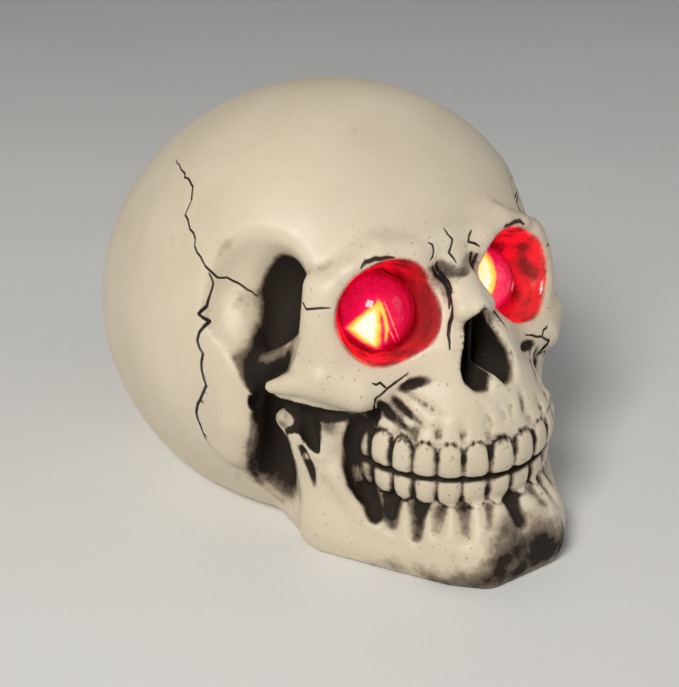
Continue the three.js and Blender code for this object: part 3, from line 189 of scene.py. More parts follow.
def egg(half_width, front, back, top, bottom, centre_y, centre_z, tilt, power):
    """Cranium: four half lengths round a centre, tipped back, and squarer towards the front."""
    def shape(x, y, z):
        dy, dz = y - centre_y, z - centre_z
        along = dy * math.cos(tilt) - dz * math.sin(tilt)
        over = dy * math.sin(tilt) + dz * math.cos(tilt)
        length = np.where(along < 0, front, back)
        height = np.where(over < 0, bottom, top)
        a, b, c = np.abs(x) / half_width, np.abs(along) / length, np.abs(over) / height
        squared = 2.0 + (power - 2.0) * np.clip(-2 * along / front, 0, 1)
        scale = np.sqrt(a ** squared + b ** squared + c * c)
        return scaled_distance(scale, [a / half_width, b / length, c / height])
    return shape


JAW_BACK = 12
JAW_POWER = 2.2


def tower(levels):
    """Upright form of a jaw: each level is a height, a half width, a front y and a middle y."""
    rows = np.array(levels, float)

    def shape(x, y, z):
        half_width, front, middle = [np.interp(z, rows[:, 0], rows[:, k]) for k in (1, 2, 3)]
        along = y - middle
        length = np.where(along < 0, middle - front, JAW_BACK)
        side = flat_ellipse(x, along, half_width, length, JAW_POWER)
        return np.maximum(side, np.maximum(rows[0, 0] - z, z - rows[-1, 0]))
    return shape


def plan_distance(points):
    """Distance to a closed outline seen from above, negative inside it."""
    def shape(x, y):
        nearest = np.full(np.broadcast(x, y).shape, np.inf)
        inside = np.zeros(nearest.shape, bool)
        for (ax, ay), (bx, by) in zip(points, points[1:] + points[:1]):
            ex, ey = bx - ax, by - ay
            t = np.clip(((x - ax) * ex + (y - ay) * ey) / (ex * ex + ey * ey), 0, 1)
            nearest = np.minimum(nearest, np.hypot(x - ax - ex * t, y - ay - ey * t))
            if ay != by:
                inside ^= ((ay > y) != (by > y)) & (x < ax + ex * (y - ay) / ey)
        return np.where(inside, -nearest, nearest)
    return shape


def surface_net(value, axes):
    """Points and quads of the surface where the grid's value is zero."""
    inside = value < 0
    cells = [size - 1 for size in value.shape]
    corners = [(c & 1, c >> 1 & 1, c >> 2 & 1) for c in range(8)]
    count = np.zeros(cells, np.int8)
    for i, j, k in corners:
        count += inside[i:i + cells[0], j:j + cells[1], k:k + cells[2]]
    active = (count > 0) & (count < 8)
    ids = np.argwhere(active)
    index = np.full(active.shape, -1, np.int64)
    index[active] = np.arange(len(ids))
    at = [value[ids[:, 0] + i, ids[:, 1] + j, ids[:, 2] + k] for i, j, k in corners]
    total = np.zeros((len(ids), 3))
    hits = np.zeros(len(ids))
    for a in range(8):
        for bit in (1, 2, 4):
            b = a | bit
            if b == a:
                continue
            cross = (at[a] < 0) != (at[b] < 0)
            t = np.where(cross, at[a] / (at[a] - at[b] + 1e-20), 0)
            start, end = np.array(corners[a], float), np.array(corners[b], float)
            total += np.where(cross[:, None], start + (end - start) * t[:, None], 0)
            hits += cross
    part = total / hits[:, None]
    points = np.empty((len(ids), 3))
    for k, axis in enumerate(axes):
        low = axis[ids[:, k]]
        points[:, k] = low + (axis[ids[:, k] + 1] - low) * part[:, k]
    quads = []
    for k in range(3):
        first = [slice(1, -1)] * 3
        second = [slice(1, -1)] * 3
        first[k] = slice(None, -1)
        second[k] = slice(1, None)
        a, b = inside[tuple(first)], inside[tuple(second)]
        for leaving in (True, False):
            edge = np.argwhere(a & ~b if leaving else ~a & b)
            edge += [0 if axis == k else 1 for axis in range(3)]
            one, two = (k + 1) % 3, (k + 2) % 3
            ring = []
            for step_one, step_two in ((1, 1), (0, 1), (0, 0), (1, 0)):
                corner = edge.copy()
                corner[:, one] -= step_one
                corner[:, two] -= step_two
                ring.append(index[corner[:, 0], corner[:, 1], corner[:, 2]])
            quad = np.stack(ring, 1)
            quads.append(quad if leaving else quad[:, ::-1])
    return points, np.concatenate(quads)


# Skull: sizes of the sculpted casting in millimetres, for its left half

STEP = 0.68

# Grid, fine over the face: start of each axis, end of its fine part, its end, and how coarse the rest is
GRID_FRONT = -79
GRID = [
    (-1.5 * STEP, 40, 56, 1.6),
    (GRID_FRONT, -22, 79, 2.4),
    (-2.5, 74, 97, 1.6),
]

# Middle, half sizes and lean of an eye socket, and the rolled rim round it
SOCKET = np.array([17.7, -44.4, 57.0])
SOCKET_HALF = (11.5, 10.1)
SOCKET_POWER = 2.15
SOCKET_YAW = 0.13
SOCKET_PITCH = 0.36
SOCKET_ROLL = -0.4
SOCKET_FLARE = 0.15
RIM_GROWTH = 1.8
RIM_RADIUS = 2.4
RIM_SET_BACK = 2.0
RIM_BOW = 0.012
RIM_INNER_SLOPE = 0.25
RIM_INNER_START = 3
BROW_GROWTH = 2.0
BROW_LIFT = 0.2
SEAT_GAP = 0.5

# Height, half width, front y and middle y of the jaws
UPPER_JAW = [
    (22, 20.6, -64, -43.5),
    (27, 21.2, -64.7, -43.5),
    (30, 22.0, -65.3, -43.3),
    (33, 22.4, -65.7, -43.0),
    (37, 20.0, -64.0, -41.5),
    (43, 16.6, -59.8, -40),
    (50, 14.5, -56, -39),
    (57, 9.6, -49.8, -38),
    (64, 5.5, -42.6, -37),
]
LOWER_JAW = [
    (0, 20, -65, -42),
    (8, 20.3, -66.6, -42),
    (13, 21.2, -66.4, -42.6),
    (16.5, 21.2, -65.8, -43.4),
    (18.5, 20.6, -64.5, -43.5),
    (20, 20.2, -63.7, -43.5),
    (26, 20, -63.4, -43.5),
]

# Foot of the lower jaw: its plan, and how far it swells past that at each height
FOOT_PLAN = [(7.4, -67.2), (12.2, -62.4), (27.4, -37.4), (26, -26)]
FOOT_HEIGHTS = [0, 2, 4, 6, 9, 12, 15, 18, 22, 40]
FOOT_SWELLS = [4.9, 5.6, 6.1, 6.2, 5.4, 3.8, 1.4, -1.6, -6.6, -58]

# Branch of the lower jaw: middle, half sizes, corner, and the way out of its plate and back along it
BRANCH = (29, -36.9, 15.5)
BRANCH_HALF = (2.4, 4.85, 14.5)
BRANCH_CORNER = 1.6
BRANCH_YAW = -0.588
BRANCH_ROLL = -0.06
BRANCH_OUT = np.array([0.832, -0.555, 0])
BRANCH_ALONG = np.array([0.555, 0.832, 0])

# Streak on the branch: distance back from its middle, height and radius
STREAK = [(3.0, 27, 0.6), (2.4, 24.5, 0.8), (1.6, 21, 0.7), (1.2, 17, 0.5), (1.0, 13.5, 0.3)]

# Troughs between the roots of the lower teeth: x, z, radius, half height and lean
ROOTS = [
    (23.8, 14.6, 2.0, 2.0, -0.6),
    (21.6, 14.4, 2.1, 2.6, -1.0),
    (19.0, 13.6, 1.9, 3.0, -1.1),
    (16.0, 14.6, 1.6, 1.8, -0.8),
    (12.2, 14.8, 1.8, 2.4, -1.0),
    (7.0, 16.2, 1.6, 1.4, -1.0),
    (0, 15.6, 2.3, 2.0, 0.0),
]
ROOT_NARROWING = 0.75
ROOT_LIFT = 0.9

# Slits in the upper jaw: x, z and radius at both ends
SLITS = [
    ((19, 42.2, 1.2), (12, 44, 0.7)),
    ((24, 41.6, 0.7), (18.6, 33.8, 1.2)),
    ((20.8, 42, 0.6), (16.4, 35.2, 0.9)),
    ((17.4, 41.4, 0.5), (12.6, 37.4, 0.7)),
    ((5.6, 40.4, 0.6), (4.2, 35, 0.8)),
    ((1.2, 39.4, 0.5), (1, 35.4, 0.7)),
]
SLIT_LIFT = 0.1
SLIT_POINT = 0.7

# Nose opening: half width at each height, its spine, and how it narrows towards its back
NOSE_HEIGHTS = [40, 41.5, 43.5, 45.5, 48.5, 51.5, 55, 57.5]
NOSE_HALF_WIDTHS = [2.4, 5.4, 7.0, 7.2, 6.2, 4.4, 2.6, 0.5]
NOSE_FLOOR = 41
NOSE_TOP = 57.5
NOSE_FRONT = -58
NOSE_BACK = -40
NOSE_NARROWING = 0.03
SPINE_HALF_WIDTH = 2.4
SPINE_SLOPE = 1.2

# Teeth: the arch they stand on, their widths from the middle, and their form from bite to gum
ARCH_Y = -43.5
UPPER_RADIUS = 24.0
LOWER_RADIUS = 23.2
BITE = 24.2
HALF_BITE_GAP = 0.35
TOOTH_WIDTHS = [6.3, 6.0, 5.8, 5.4, 5.2, 6.0, 5.6]
UPPER_HEIGHT = 8.2
LOWER_HEIGHT = 6.8
TOOTH_SET_BACK = 2.6
TOOTH_CONTACT = 2.1
TOOTH_POWER = 3.5
TAPER_STOPS = [0, 0.1, 0.4, 0.75, 0.9, 1.0]
UPPER_TAPER = [0.46, 0.49, 0.485, 0.43, 0.32, 0.10]
LOWER_TAPER = [0.47, 0.49, 0.48, 0.44, 0.35, 0.14]
DEPTH_STOPS = [0, 0.25, 0.6, 1.0]
HALF_DEPTHS = [2.0, 2.6, 2.5, 1.5]
EDGE_OUT = 1
EDGE_REACH = 3
TOOTH_BELOW = (8, 8, 10)
TOOTH_ABOVE = (8, 8, 12)
FLUTE_SET_BACK = 2.0
FLUTE_HEIGHT = 36
FLUTE_HALF = (0.7, 1.3, 3.0)
FLUTE_REACH = 7


def sculpt_axes():
    def run(low, high, pace):
        return np.linspace(low, high, int(round((high - low) / pace)) + 1)
    axes = []
    for start, middle, end, coarse in GRID:
        axes.append(np.concatenate([run(start, middle, STEP), run(middle, end, coarse * STEP)[1:]]))
    return axes


def socket_axes():
    """Directions across, up and out of the left socket."""
    level = np.array([math.cos(SOCKET_YAW), math.sin(SOCKET_YAW), 0.0])
    lean = np.array([0.0, math.sin(SOCKET_PITCH), math.cos(SOCKET_PITCH)])
    lean = lean - level * (lean @ level)
    lean /= np.linalg.norm(lean)
    across = level * math.cos(SOCKET_ROLL) + lean * math.sin(SOCKET_ROLL)
    up = lean * math.cos(SOCKET_ROLL) - level * math.sin(SOCKET_ROLL)
    return np.stack([across, up, np.cross(across, up)], 1)


SOCKET_AXES = socket_axes()

lens_low, lens_high = [np.array(corner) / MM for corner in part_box("eye_lens_left")]
lens_middle = (lens_low + lens_high) / 2
LENS_RADIUS = (lens_high[2] - lens_low[2]) / 2
EYE = np.array([lens_middle[0], lens_low[1] + LENS_RADIUS, lens_middle[2]])
EYE_IN_SOCKET = np.array(local(*EYE, SOCKET, SOCKET_AXES))
SEAT_RADIUS = LENS_RADIUS + SEAT_GAP


def rim_point(angle, radius):
    """Point beside the edge of the socket, with a radius for a bone."""
    across = (SOCKET_HALF[0] + BROW_GROWTH) * math.cos(angle * DEG)
    up = (SOCKET_HALF[1] + BROW_GROWTH) * math.sin(angle * DEG)
    return (*(SOCKET + SOCKET_AXES @ np.array([across, up, BROW_LIFT])), radius)


def on_front(field, x, z, lift):
    """Point in front of the skin at x and z."""
    ys = np.arange(GRID_FRONT, -20, 0.1)
    value = field.sample(np.stack([0 * ys + x, ys, 0 * ys + z], 1))
    return (x, float(ys[np.argmax(value < 0)]) - lift, z)


def on_skin(field, inside, out):
    """Point of the skin met last on the way out from an inner point."""
    places = np.array(inside) + np.arange(0, 8, 0.05)[:, None] * np.array(out)
    held = np.flatnonzero(field.sample(places) < 0)
    return places[held[-1]] if len(held) else places[0]


def groove(field, start, end, lift, pointed=0.0):
    """Bar along the front skin, from one x, z and radius to another, with ends drawn out to points."""
    start, end = np.array(start), np.array(end)
    marks = []
    for part in np.linspace(0, 1, 7):
        x, z, radius = start + (end - start) * part
        marks.append((*on_front(field, x, z, lift), radius * (1 - pointed * (2 * part - 1) ** 2)))
    return bone(*marks)


# Forms that the paint needs again
DARK_HOLES = []
PALE_FORMS = []
TOOTH_EDGES = []


def dig_dark(field, shape, blend, dark_from):
    """Digs a hole whose wall gets painted wash and shade, fully dark from the given depth on."""
    field.dig(shape, blend, washed_and_shaded=True)
    DARK_HOLES.append((shape, dark_from))


def add_pale(field, shape, blend, least):
    """Adds a form inside a dark hole that keeps only this share of the painted wash and shade."""
    field.add(shape, blend)
    PALE_FORMS.append((shape, least))


def sculpt_cranium(field):
    cranium = egg(
        half_width=52.25, front=54.3, back=71.95, top=54.6, bottom=53,
        centre_y=4.6, centre_z=37.2, tilt=18.7 * DEG, power=2.21,
    )
    field.add(cranium, blend=0.01)
    lean = rotation(yaw=-0.6, roll=-0.14)
    temple_dish = ellipsoid((40.2, -28.2, 61), (10.4, 13, 15), lean)
    field.dig(temple_dish, blend=3)
    upper_hole = ellipsoid((36.4, -28.9, 58.5), (12, 7.6, 11), lean)
    lower_hole = ellipsoid((39.4, -29.8, 48.5), (9, 6.0, 9), lean)

    def temple_hole(x, y, z):
        return smooth_min(upper_hole(x, y, z), lower_hole(x, y, z), 3.0)
    dig_dark(field, temple_hole, blend=2.5, dark_from=2.0)


def socket_rim(x, y, z):
    """Rolled rim of the socket, set back at both sides and more at the inner one."""
    u, v, w = local(x, y, z, SOCKET, SOCKET_AXES)
    ring = flat_ellipse(u, v, SOCKET_HALF[0] + RIM_GROWTH, SOCKET_HALF[1] + RIM_GROWTH, SOCKET_POWER)
    set_back = RIM_SET_BACK + RIM_BOW * u * u + RIM_INNER_SLOPE * np.maximum(-u - RIM_INNER_START, 0)
    return np.hypot(ring, w + set_back) - RIM_RADIUS


def sculpt_face(field):
    field.add(socket_rim, blend=4)
    outer_rim = rounded_box((28.6, -37.6, 56), (4.3, 2.6, 9.2), 2.4, rotation(yaw=0.75, pitch=-0.22))
    field.add(outer_rim, blend=3)
    brow = bone((0, -40, 68, 3), (8, -40.6, 67.2, 3.2), (16, -38.8, 69, 2.4))
    field.add(brow, blend=4)
    ridge_angles = [(85, 1.0), (115, 1.8), (145, 2.6), (166, 2.0)]
    brow_ridge = bone(*[rim_point(angle, radius) for angle, radius in ridge_angles])
    field.add(brow_ridge, blend=2.5)
    cheek_bone = bone((17, -46.8, 41.5, 4), (25, -45.4, 41.5, 4.4), (31, -40, 43.5, 4.2))
    field.add(cheek_bone, blend=3)
    wing = bone((31, -39.6, 43.8, 4), (36.5, -36, 42.6, 2.4), (39.6, -33.4, 41.8, 1.3))
    field.add(wing, blend=1.2)
    field.add(tower(UPPER_JAW), blend=4)
    nose_bone = bone((0, -41, 66, 3), (0, -43.8, 62.8, 2.2), (0, -53.4, 57, 2.2))
    field.add(nose_bone, blend=3)
    nose_side = bone((1.2, -43.8, 62.8, 2.0), (3.2, -51.6, 56.6, 2.0))
    field.add(nose_side, blend=2.5)


def sculpt_jaw(field):
    plan = plan_distance(FOOT_PLAN + [(-x, y) for x, y in reversed(FOOT_PLAN)])

    def foot(x, y, z):
        return plan(x, y) - np.interp(z, FOOT_HEIGHTS, FOOT_SWELLS)
    field.add(foot, blend=4)
    field.add(tower(LOWER_JAW), blend=2.5)
    branch_turn = rotation(yaw=BRANCH_YAW, roll=BRANCH_ROLL)
    field.add(rounded_box(BRANCH, BRANCH_HALF, BRANCH_CORNER, branch_turn), blend=2)
    jaw_ridge = bone((28, -41.2, 21, 1.8), (26.4, -43.6, 15.6, 1.8), (23, -48.6, 10, 1.8))
    field.add(jaw_ridge, blend=4)
    front_horn = bone((29.6, -38.8, 25, 2.2), (28.6, -40, 33, 1.7))
    field.add(front_horn, blend=1.5)


def sculpt_jaw_hollows(field):
    # Hollows whose walls get painted wash and shade, darker the deeper they lie
    beside_teeth = ellipsoid((24.5, -45.6, 25.5), (3.0, 4.1, 10.2), rotation(yaw=-0.5))
    dig_dark(field, beside_teeth, blend=1.5, dark_from=1.3)
    below_teeth = bone((26.2, -45.6, 19, 1.5), (23.8, -49.6, 12.8, 0.6))
    dig_dark(field, below_teeth, blend=1.2, dark_from=1.2)
    under_cheek = ellipsoid((23.5, -54, 34.5), (4.0, 6, 5.6), rotation(yaw=-0.3))
    field.dig(under_cheek, blend=2)
    # Hollow behind the branch, painted dark as the shade behind it
    behind_branch = ellipsoid((38, -29.8, 20), (8, 5.0, 20), rotation(yaw=BRANCH_YAW))
    dig_dark(field, behind_branch, blend=2.4, dark_from=6.0)
    pad = bone((37, -18, 53, 2.5), (41.4, -23.6, 41, 4), (42.2, -24.2, 31, 4.6), (41.6, -21.6, 24, 4.2))
    field.add(pad, blend=5)
    # Gap under the cheek's wing, painted dark as the shadow under the wing
    under_wing = bone(
        (40, -29.6, 37.4, 2.4), (37, -34, 36.8, 2.3), (33.4, -37.6, 36.2, 1.8), (29, -42, 35.4, 0.9),
        (25.5, -46, 35, 1.3),
    )
    dig_dark(field, under_wing, blend=1.0, dark_from=1.6)
    branch_notch = bone((33.2, -37.2, 34, 2.5), (32.6, -38, 30, 1.9), (32, -38.8, 26.4, 0.8))
    dig_dark(field, branch_notch, blend=0.7, dark_from=1.6)
    before_knuckle = bone((38.8, -31, 33.6, 2.8), (36.2, -35.4, 33.2, 2.4), (33.6, -39.4, 33, 1.8))
    dig_dark(field, before_knuckle, blend=0.8, dark_from=1.6)
    knuckle = bone((31.6, -34.8, 24.5, 2.2), (33.8, -33.4, 28.8, 2.0), (35.2, -31.6, 32, 2.1))
    add_pale(field, knuckle, blend=1.0, least=0.25)
    # Fold on the temple's floor, kept paler as a painted highlight
    temple_fold_highlight = bone((31, -33, 48.6, 1.4), (35.4, -28, 44.6, 2.2), (40, -23.4, 40.6, 2.6))
    add_pale(field, temple_fold_highlight, blend=3.5, least=0.60)


def sculpt_jaw_grooves(field):
    streak = []
    for back, z, radius in STREAK:
        middle = np.array([BRANCH[0], BRANCH[1], z]) + back * BRANCH_ALONG
        streak.append((*on_skin(field, middle, BRANCH_OUT), radius))
    dig_dark(field, bone(*streak), blend=0.5, dark_from=0.6)
    troughs = []
    for x, z, radius, high, lean in ROOTS:
        top = (x + lean, z + high, radius)
        end = (x - lean, z - high, ROOT_NARROWING * radius)
        troughs.append(groove(field, top, end, ROOT_LIFT))
    for trough in troughs:
        dig_dark(field, trough, blend=1.6, dark_from=2.2)


def socket_funnel(x, y, z):
    """Opening of the socket, from its flared mouth to the seat of the dome."""
    u, v, w = local(x, y, z, SOCKET, SOCKET_AXES)
    t = np.clip(w / EYE_IN_SOCKET[2], 0, 1)
    flare = SOCKET_FLARE * np.maximum(w, 0)
    half_width = SOCKET_HALF[0] + (SEAT_RADIUS - SOCKET_HALF[0]) * t + flare
    half_height = SOCKET_HALF[1] + (SEAT_RADIUS - SOCKET_HALF[1]) * t + flare
    across, up = u - EYE_IN_SOCKET[0] * t, v - EYE_IN_SOCKET[1] * t
    side = flat_ellipse(across, up, half_width, half_height, SOCKET_POWER)
    return np.maximum(side, EYE_IN_SOCKET[2] - w)


def nose_opening(x, y, z):
    floor = NOSE_FLOOR + SPINE_SLOPE * np.clip(SPINE_HALF_WIDTH - np.abs(x), 0, 9)
    narrowing = np.clip(1 - NOSE_NARROWING * (y - NOSE_FRONT), 0.4, 1.1)
    side = np.abs(x) - np.interp(z, NOSE_HEIGHTS, NOSE_HALF_WIDTHS) * narrowing
    return np.maximum(np.maximum(side, np.maximum(floor - z, z - NOSE_TOP)), y - NOSE_BACK)


def below_base(x, y, z):
    return z + 0 * x + 0 * y


def sculpt_openings(field):
    field.dig(socket_funnel, blend=0.6)
    dig_dark(field, nose_opening, blend=1.2, dark_from=3.0)
    septum = rounded_box((0, -44.5, 47), (0.4, 6.5, 7), 0.35)
    field.add(septum, blend=0.5)
    nose_root = groove(field, (6.4, 64.8, 0.8), (0, 63.8, 1.1), 0.55)
    dig_dark(field, nose_root, blend=1.4, dark_from=2.6)
    for start, end in SLITS:
        dig_dark(field, groove(field, start, end, SLIT_LIFT, SLIT_POINT), blend=0.8, dark_from=1.6)
    field.dig(below_base, blend=0.6)


def tooth(angle, width, upper):
    height = UPPER_HEIGHT if upper else LOWER_HEIGHT
    radius = (UPPER_RADIUS if upper else LOWER_RADIUS) - TOOTH_SET_BACK
    start = BITE + (HALF_BITE_GAP if upper else -HALF_BITE_GAP)
    towards_gum = 1 if upper else -1
    taper = UPPER_TAPER if upper else LOWER_TAPER
    full_width = width * (radius + TOOTH_CONTACT) / UPPER_RADIUS

    def measures(x, y, z):
        """Places along, out of and up the tooth, its half width there, and distance past its ends."""
        along = x * math.cos(angle) + (y - ARCH_Y) * math.sin(angle)
        out = x * math.sin(angle) - (y - ARCH_Y) * math.cos(angle)
        k = (z - start) * towards_gum / height
        half = full_width * np.interp(k, TAPER_STOPS, taper)
        return along, out - radius, k, half, np.maximum(-k, k - 1.0) * height

    def shape(x, y, z):
        along, out, k, half, ends = measures(x, y, z)
        deep = np.interp(k, DEPTH_STOPS, HALF_DEPTHS)
        side = flat_ellipse(along, out, half, deep, TOOTH_POWER)
        return smooth_max(side, ends + 0 * side, 0.8)

    def edge(x, y, z):
        along, out, _, half, ends = measures(x, y, z)
        at_front = np.abs(out - EDGE_OUT) < EDGE_REACH
        return np.where(at_front, np.maximum(np.abs(along) - half, ends), FAR)
    TOOTH_EDGES.append(edge)
    return shape


def on_arch(angle, radius, z):
    return np.array([radius * math.sin(angle), ARCH_Y - radius * math.cos(angle), z])


def sculpt_teeth(field):
    """Both rows, and a flute in the upper gum after each tooth but the last."""
    edge = 0.0
    for place, width in enumerate(TOOTH_WIDTHS):
        angle = (edge + width / 2) / UPPER_RADIUS
        middle = on_arch(angle, UPPER_RADIUS - 2, BITE)
        for upper in (True, False):
            field.add(tooth(angle, width, upper), 0.3, middle - TOOTH_BELOW, middle + TOOTH_ABOVE)
        edge += width
        if place + 1 == len(TOOTH_WIDTHS):
            break
        between = edge / UPPER_RADIUS
        centre = on_arch(between, UPPER_RADIUS - FLUTE_SET_BACK, FLUTE_HEIGHT)
        flute = ellipsoid(centre, FLUTE_HALF, rotation(yaw=between))
        field.dig(flute, 1.2, centre - FLUTE_REACH, centre + FLUTE_REACH)


def sculpted_field():
    field = Field(sculpt_axes())
    sculpt_cranium(field)
    sculpt_face(field)
    sculpt_jaw(field)
    sculpt_jaw_hollows(field)
    sculpt_jaw_grooves(field)
    sculpt_openings(field)
    sculpt_teeth(field)
    return field


def whole_skin(field):
    """The left half and its mirror image, closed."""
    xs, ys, zs = field.axes
    left = xs > 0
    half = field.value[left]
    both = np.concatenate([half[::-1], half])
    padded = np.pad(both, 1, constant_values=5.0)
    axes = [np.concatenate([-xs[left][::-1], xs[left]]), ys, zs]
    axes = [np.concatenate([[axis[0] - 1], axis, [axis[-1] + 1]]) for axis in axes]
    return surface_net(padded, axes)


def show(name, data):
    made = bpy.data.objects.new(name, data)
    bpy.context.scene.collection.objects.link(made)
    return made


def mesh_object(name, points, faces, smooth=True):
    mesh = bpy.data.meshes.new(name)
    mesh.from_pydata((np.asarray(points) * MM).tolist(), [], [list(face) for face in faces])
    mesh.polygons.foreach_set("use_smooth", [smooth] * len(mesh.polygons))
    mesh.update()
    return show(name, mesh)


def lathe(profile, sides, centre):
    """Closed turned form about the Y axis. The profile is radius and y, and starts and ends on the axis."""
    points = [(0.0, profile[0][1], 0.0)]
    for radius, y in profile[1:-1]:
        for k in range(sides):
            angle = 2 * math.pi * k / sides
            points.append((radius * math.cos(angle), y, radius * math.sin(angle)))
    points.append((0.0, profile[-1][1], 0.0))
    faces = []
    last = len(points) - 1
    rows = len(profile) - 2
    for k in range(sides):
        after = (k + 1) % sides
        faces.append((0, 1 + k, 1 + after))
        for row in range(rows - 1):
            low = 1 + row * sides
            faces.append((low + k, low + sides + k, low + sides + after, low + after))
        end = 1 + (rows - 1) * sides
        faces.append((end + after, end + k, last))
    return np.array(points) + np.array(centre), faces


def box_form(low, high):
    points = [(x, y, z) for x in (low[0], high[0]) for y in (low[1], high[1]) for z in (low[2], high[2])]
    faces = [(0, 1, 3, 2), (4, 6, 7, 5), (0, 4, 5, 1), (2, 3, 7, 6), (0, 2, 6, 4), (1, 5, 7, 3)]
    return np.array(points), faces


def cut_away(body, name, form):
    """Cuts a closed form out of the body's mesh."""
    cutter = mesh_object(name, *form, smooth=False)
    change = body.modifiers.new(name, "BOOLEAN")
    change.operation = "DIFFERENCE"
    change.solver = "MANIFOLD"
    change.object = cutter
    shown = bpy.context.evaluated_depsgraph_get()
    result = bpy.data.meshes.new_from_object(body.evaluated_get(shown))
    body.modifiers.clear()
    body.data = result
    bpy.data.objects.remove(cutter)


# Openings in the casting: play round the battery box, its flange, and the stepped bore behind each eye
FIT = 0.3
FLANGE_THICKNESS = 3
FLANGE_WIDTH = 5.6
BORE_SIDES = 48
BORE_PROFILE = [(0, -3), (8.7, -3), (8.7, 2.8), (4.7, 2.8), (4.7, 10.8), (6.3, 10.8), (6.3, 25), (0, 25)]


def open_inside(skull):
    """Cuts the base recess, the way for the battery box and the stepped bores of the eyes."""
    low, high = [np.array(corner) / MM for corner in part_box("battery_box")]
    recess_low = (low[0] - FIT, low[1] - FIT, -3)
    recess_high = (high[0] + FIT, high[1] + FIT, low[2] + FLANGE_THICKNESS + FIT)
    cut_away(skull, "recess", box_form(recess_low, recess_high))
    way_low = (low[0] + FLANGE_WIDTH - FIT, low[1] + FLANGE_WIDTH - FIT, 0)
    way_high = (high[0] - FLANGE_WIDTH + FIT, high[1] - FLANGE_WIDTH + FIT, high[2] + 1)
    cut_away(skull, "way", box_form(way_low, way_high))
    for side in (-1, 1):
        cut_away(skull, "bore", lathe(BORE_PROFILE, BORE_SIDES, EYE * (side, 1, 1)))


field = sculpted_field()
points, quads = whole_skin(field)
skull = mesh_object("skull_sculpt", points, quads)
open_inside(skull)
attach(skull, "skull")
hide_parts("skull_casting")

# Cracks: fine jagged lines, cut into a finer net of the skin. Each has a width and then its points

CRACKS = [
    # Side of the head
    [
        0.18, (34, 15.9, 77.4), (37.8, 0.2, 76.1), (39.8, -1.9, 73.7), (41.7, -2.9, 70.9), (42.2, -7.6, 68.6),
        (41.8, -11.8, 63.9), (41.1, -14.6, 60.8), (39.8, -17.5, 60.6), (38.2, -19.7, 60), (35.9, -21.6, 58.6),
        (33.8, -23.1, 57.5),
    ],
    [
        0.28, (41.8, -13.2, 61.4), (41.9, -14.1, 59.6), (43.3, -14.1, 55.8), (44.6, -14.2, 52.8),
        (44.3, -16.2, 51.2), (46, -16.3, 47.8), (46.3, -18.3, 45.4), (47.6, -18.6, 42), (47.8, -19.9, 38.5),
        (48.7, -16.8, 32.9), (48.7, -15.5, 29.8), (46.7, -16.4, 22.7), (44.7, -19, 19.9),
    ],
    # Rim of the socket, frown and nose
    [0.19, (32.2, -35, 60.1), (31.4, -37.5, 59.3), (29, -40.2, 60)],
    [0.19, (5.7, -43.4, 70.7), (4.8, -45.2, 68.9), (6.4, -46.8, 67.1)],
    [0.20, (0.6, -41, 71.5), (0, -43.4, 69.3), (1.2, -45, 67.3), (0.4, -46.4, 65)],
    [0.30, (4.6, -46.5, 65.5), (5.6, -48.5, 61.5), (6.2, -50.5, 57.5), (7.4, -52.5, 53), (8.2, -54, 50)],
    [0.34, (5.6, -46.5, 65), (6.2, -48.5, 61), (6.8, -50, 57.5)],
    # Cheek and brow
    [0.22, (23.5, -44, 36.4), (24.2, -49, 41.1), (21.2, -50.1, 43), (18.4, -50.6, 44.6), (16.3, -51, 45.6)],
    [0.20, (21.2, -50.1, 43), (22.7, -49.4, 44.1), (24.3, -48.7, 44.7)],
    [
        0.42, (21.9, -41.6, 67.4), (20.6, -41.6, 68.4), (18.9, -42, 68.7), (16.4, -42.6, 68.6),
        (14.6, -43, 68.4),
    ],
]
CRACK_SEED = 7
CRACK_DEPTH = 0.40
CRACK_EDGE = 0.20
CRACK_BEND = 1.3
CRACK_SAMPLE = 0.1
CRACK_WANDER = 0.04
CRACK_REACH = 1.2
CRACK_STAIN = 1.3
MIDDLE_CRACK = 2
NET_REACHES = (1.7, 1.1, 0.7, 0.45)


def nearest_skin(places):
    """Moves points along the field's slope onto the skin."""
    steps = 0.4 * np.eye(3)
    for _ in range(6):
        slope = np.stack([field.sample(places + step) - field.sample(places - step) for step in steps], 1)
        slope /= np.linalg.norm(slope, axis=1)[:, None] + TINY
        places = places - slope * np.clip(field.sample(places), -1, 1)[:, None]
    return places


def crack_path(line, side, wander, chance, skin):
    """Close points on the skin along a crack, with a bend at each short step."""
    places = []
    for start, end in zip(line, line[1:]):
        start, end = np.array(start), np.array(end)
        count = max(2, int(np.linalg.norm(end - start) / CRACK_BEND))
        for k in range(count):
            places.append(start + (end - start) * k / count + chance.normal(0, wander, 3))
    places.append(np.array(line[-1]))
    places = nearest_skin(np.array(places) * (side, 1, 1))
    fine = []
    for start, end in zip(places, places[1:]):
        count = math.ceil(np.linalg.norm(end - start) / CRACK_SAMPLE)
        for k in range(count):
            place = start + (end - start) * k / count
            fine.append(np.array(skin.find_nearest(place * MM)[0]) / MM)
    return fine


def crack_tree(skin):
    """All crack points with their widths, which run out at the ends. A crack in the middle is drawn once."""
    chance = np.random.default_rng(CRACK_SEED)
    places = []
    widths = []
    for side in (-1, 1):
        for width, *line in CRACKS:
            if side > 0 and max(place[0] for place in line) < MIDDLE_CRACK:
                continue
            path = crack_path(line, side, CRACK_WANDER / width, chance, skin)
            places += path
            for run in np.linspace(0, 1, len(path)):
                widths.append(width * min(1, 0.4 + 3 * min(run, 1 - run)))
    tree = KDTree(len(places))
    for index, place in enumerate(places):
        tree.insert(place, index)
    tree.balance()
    return tree, widths


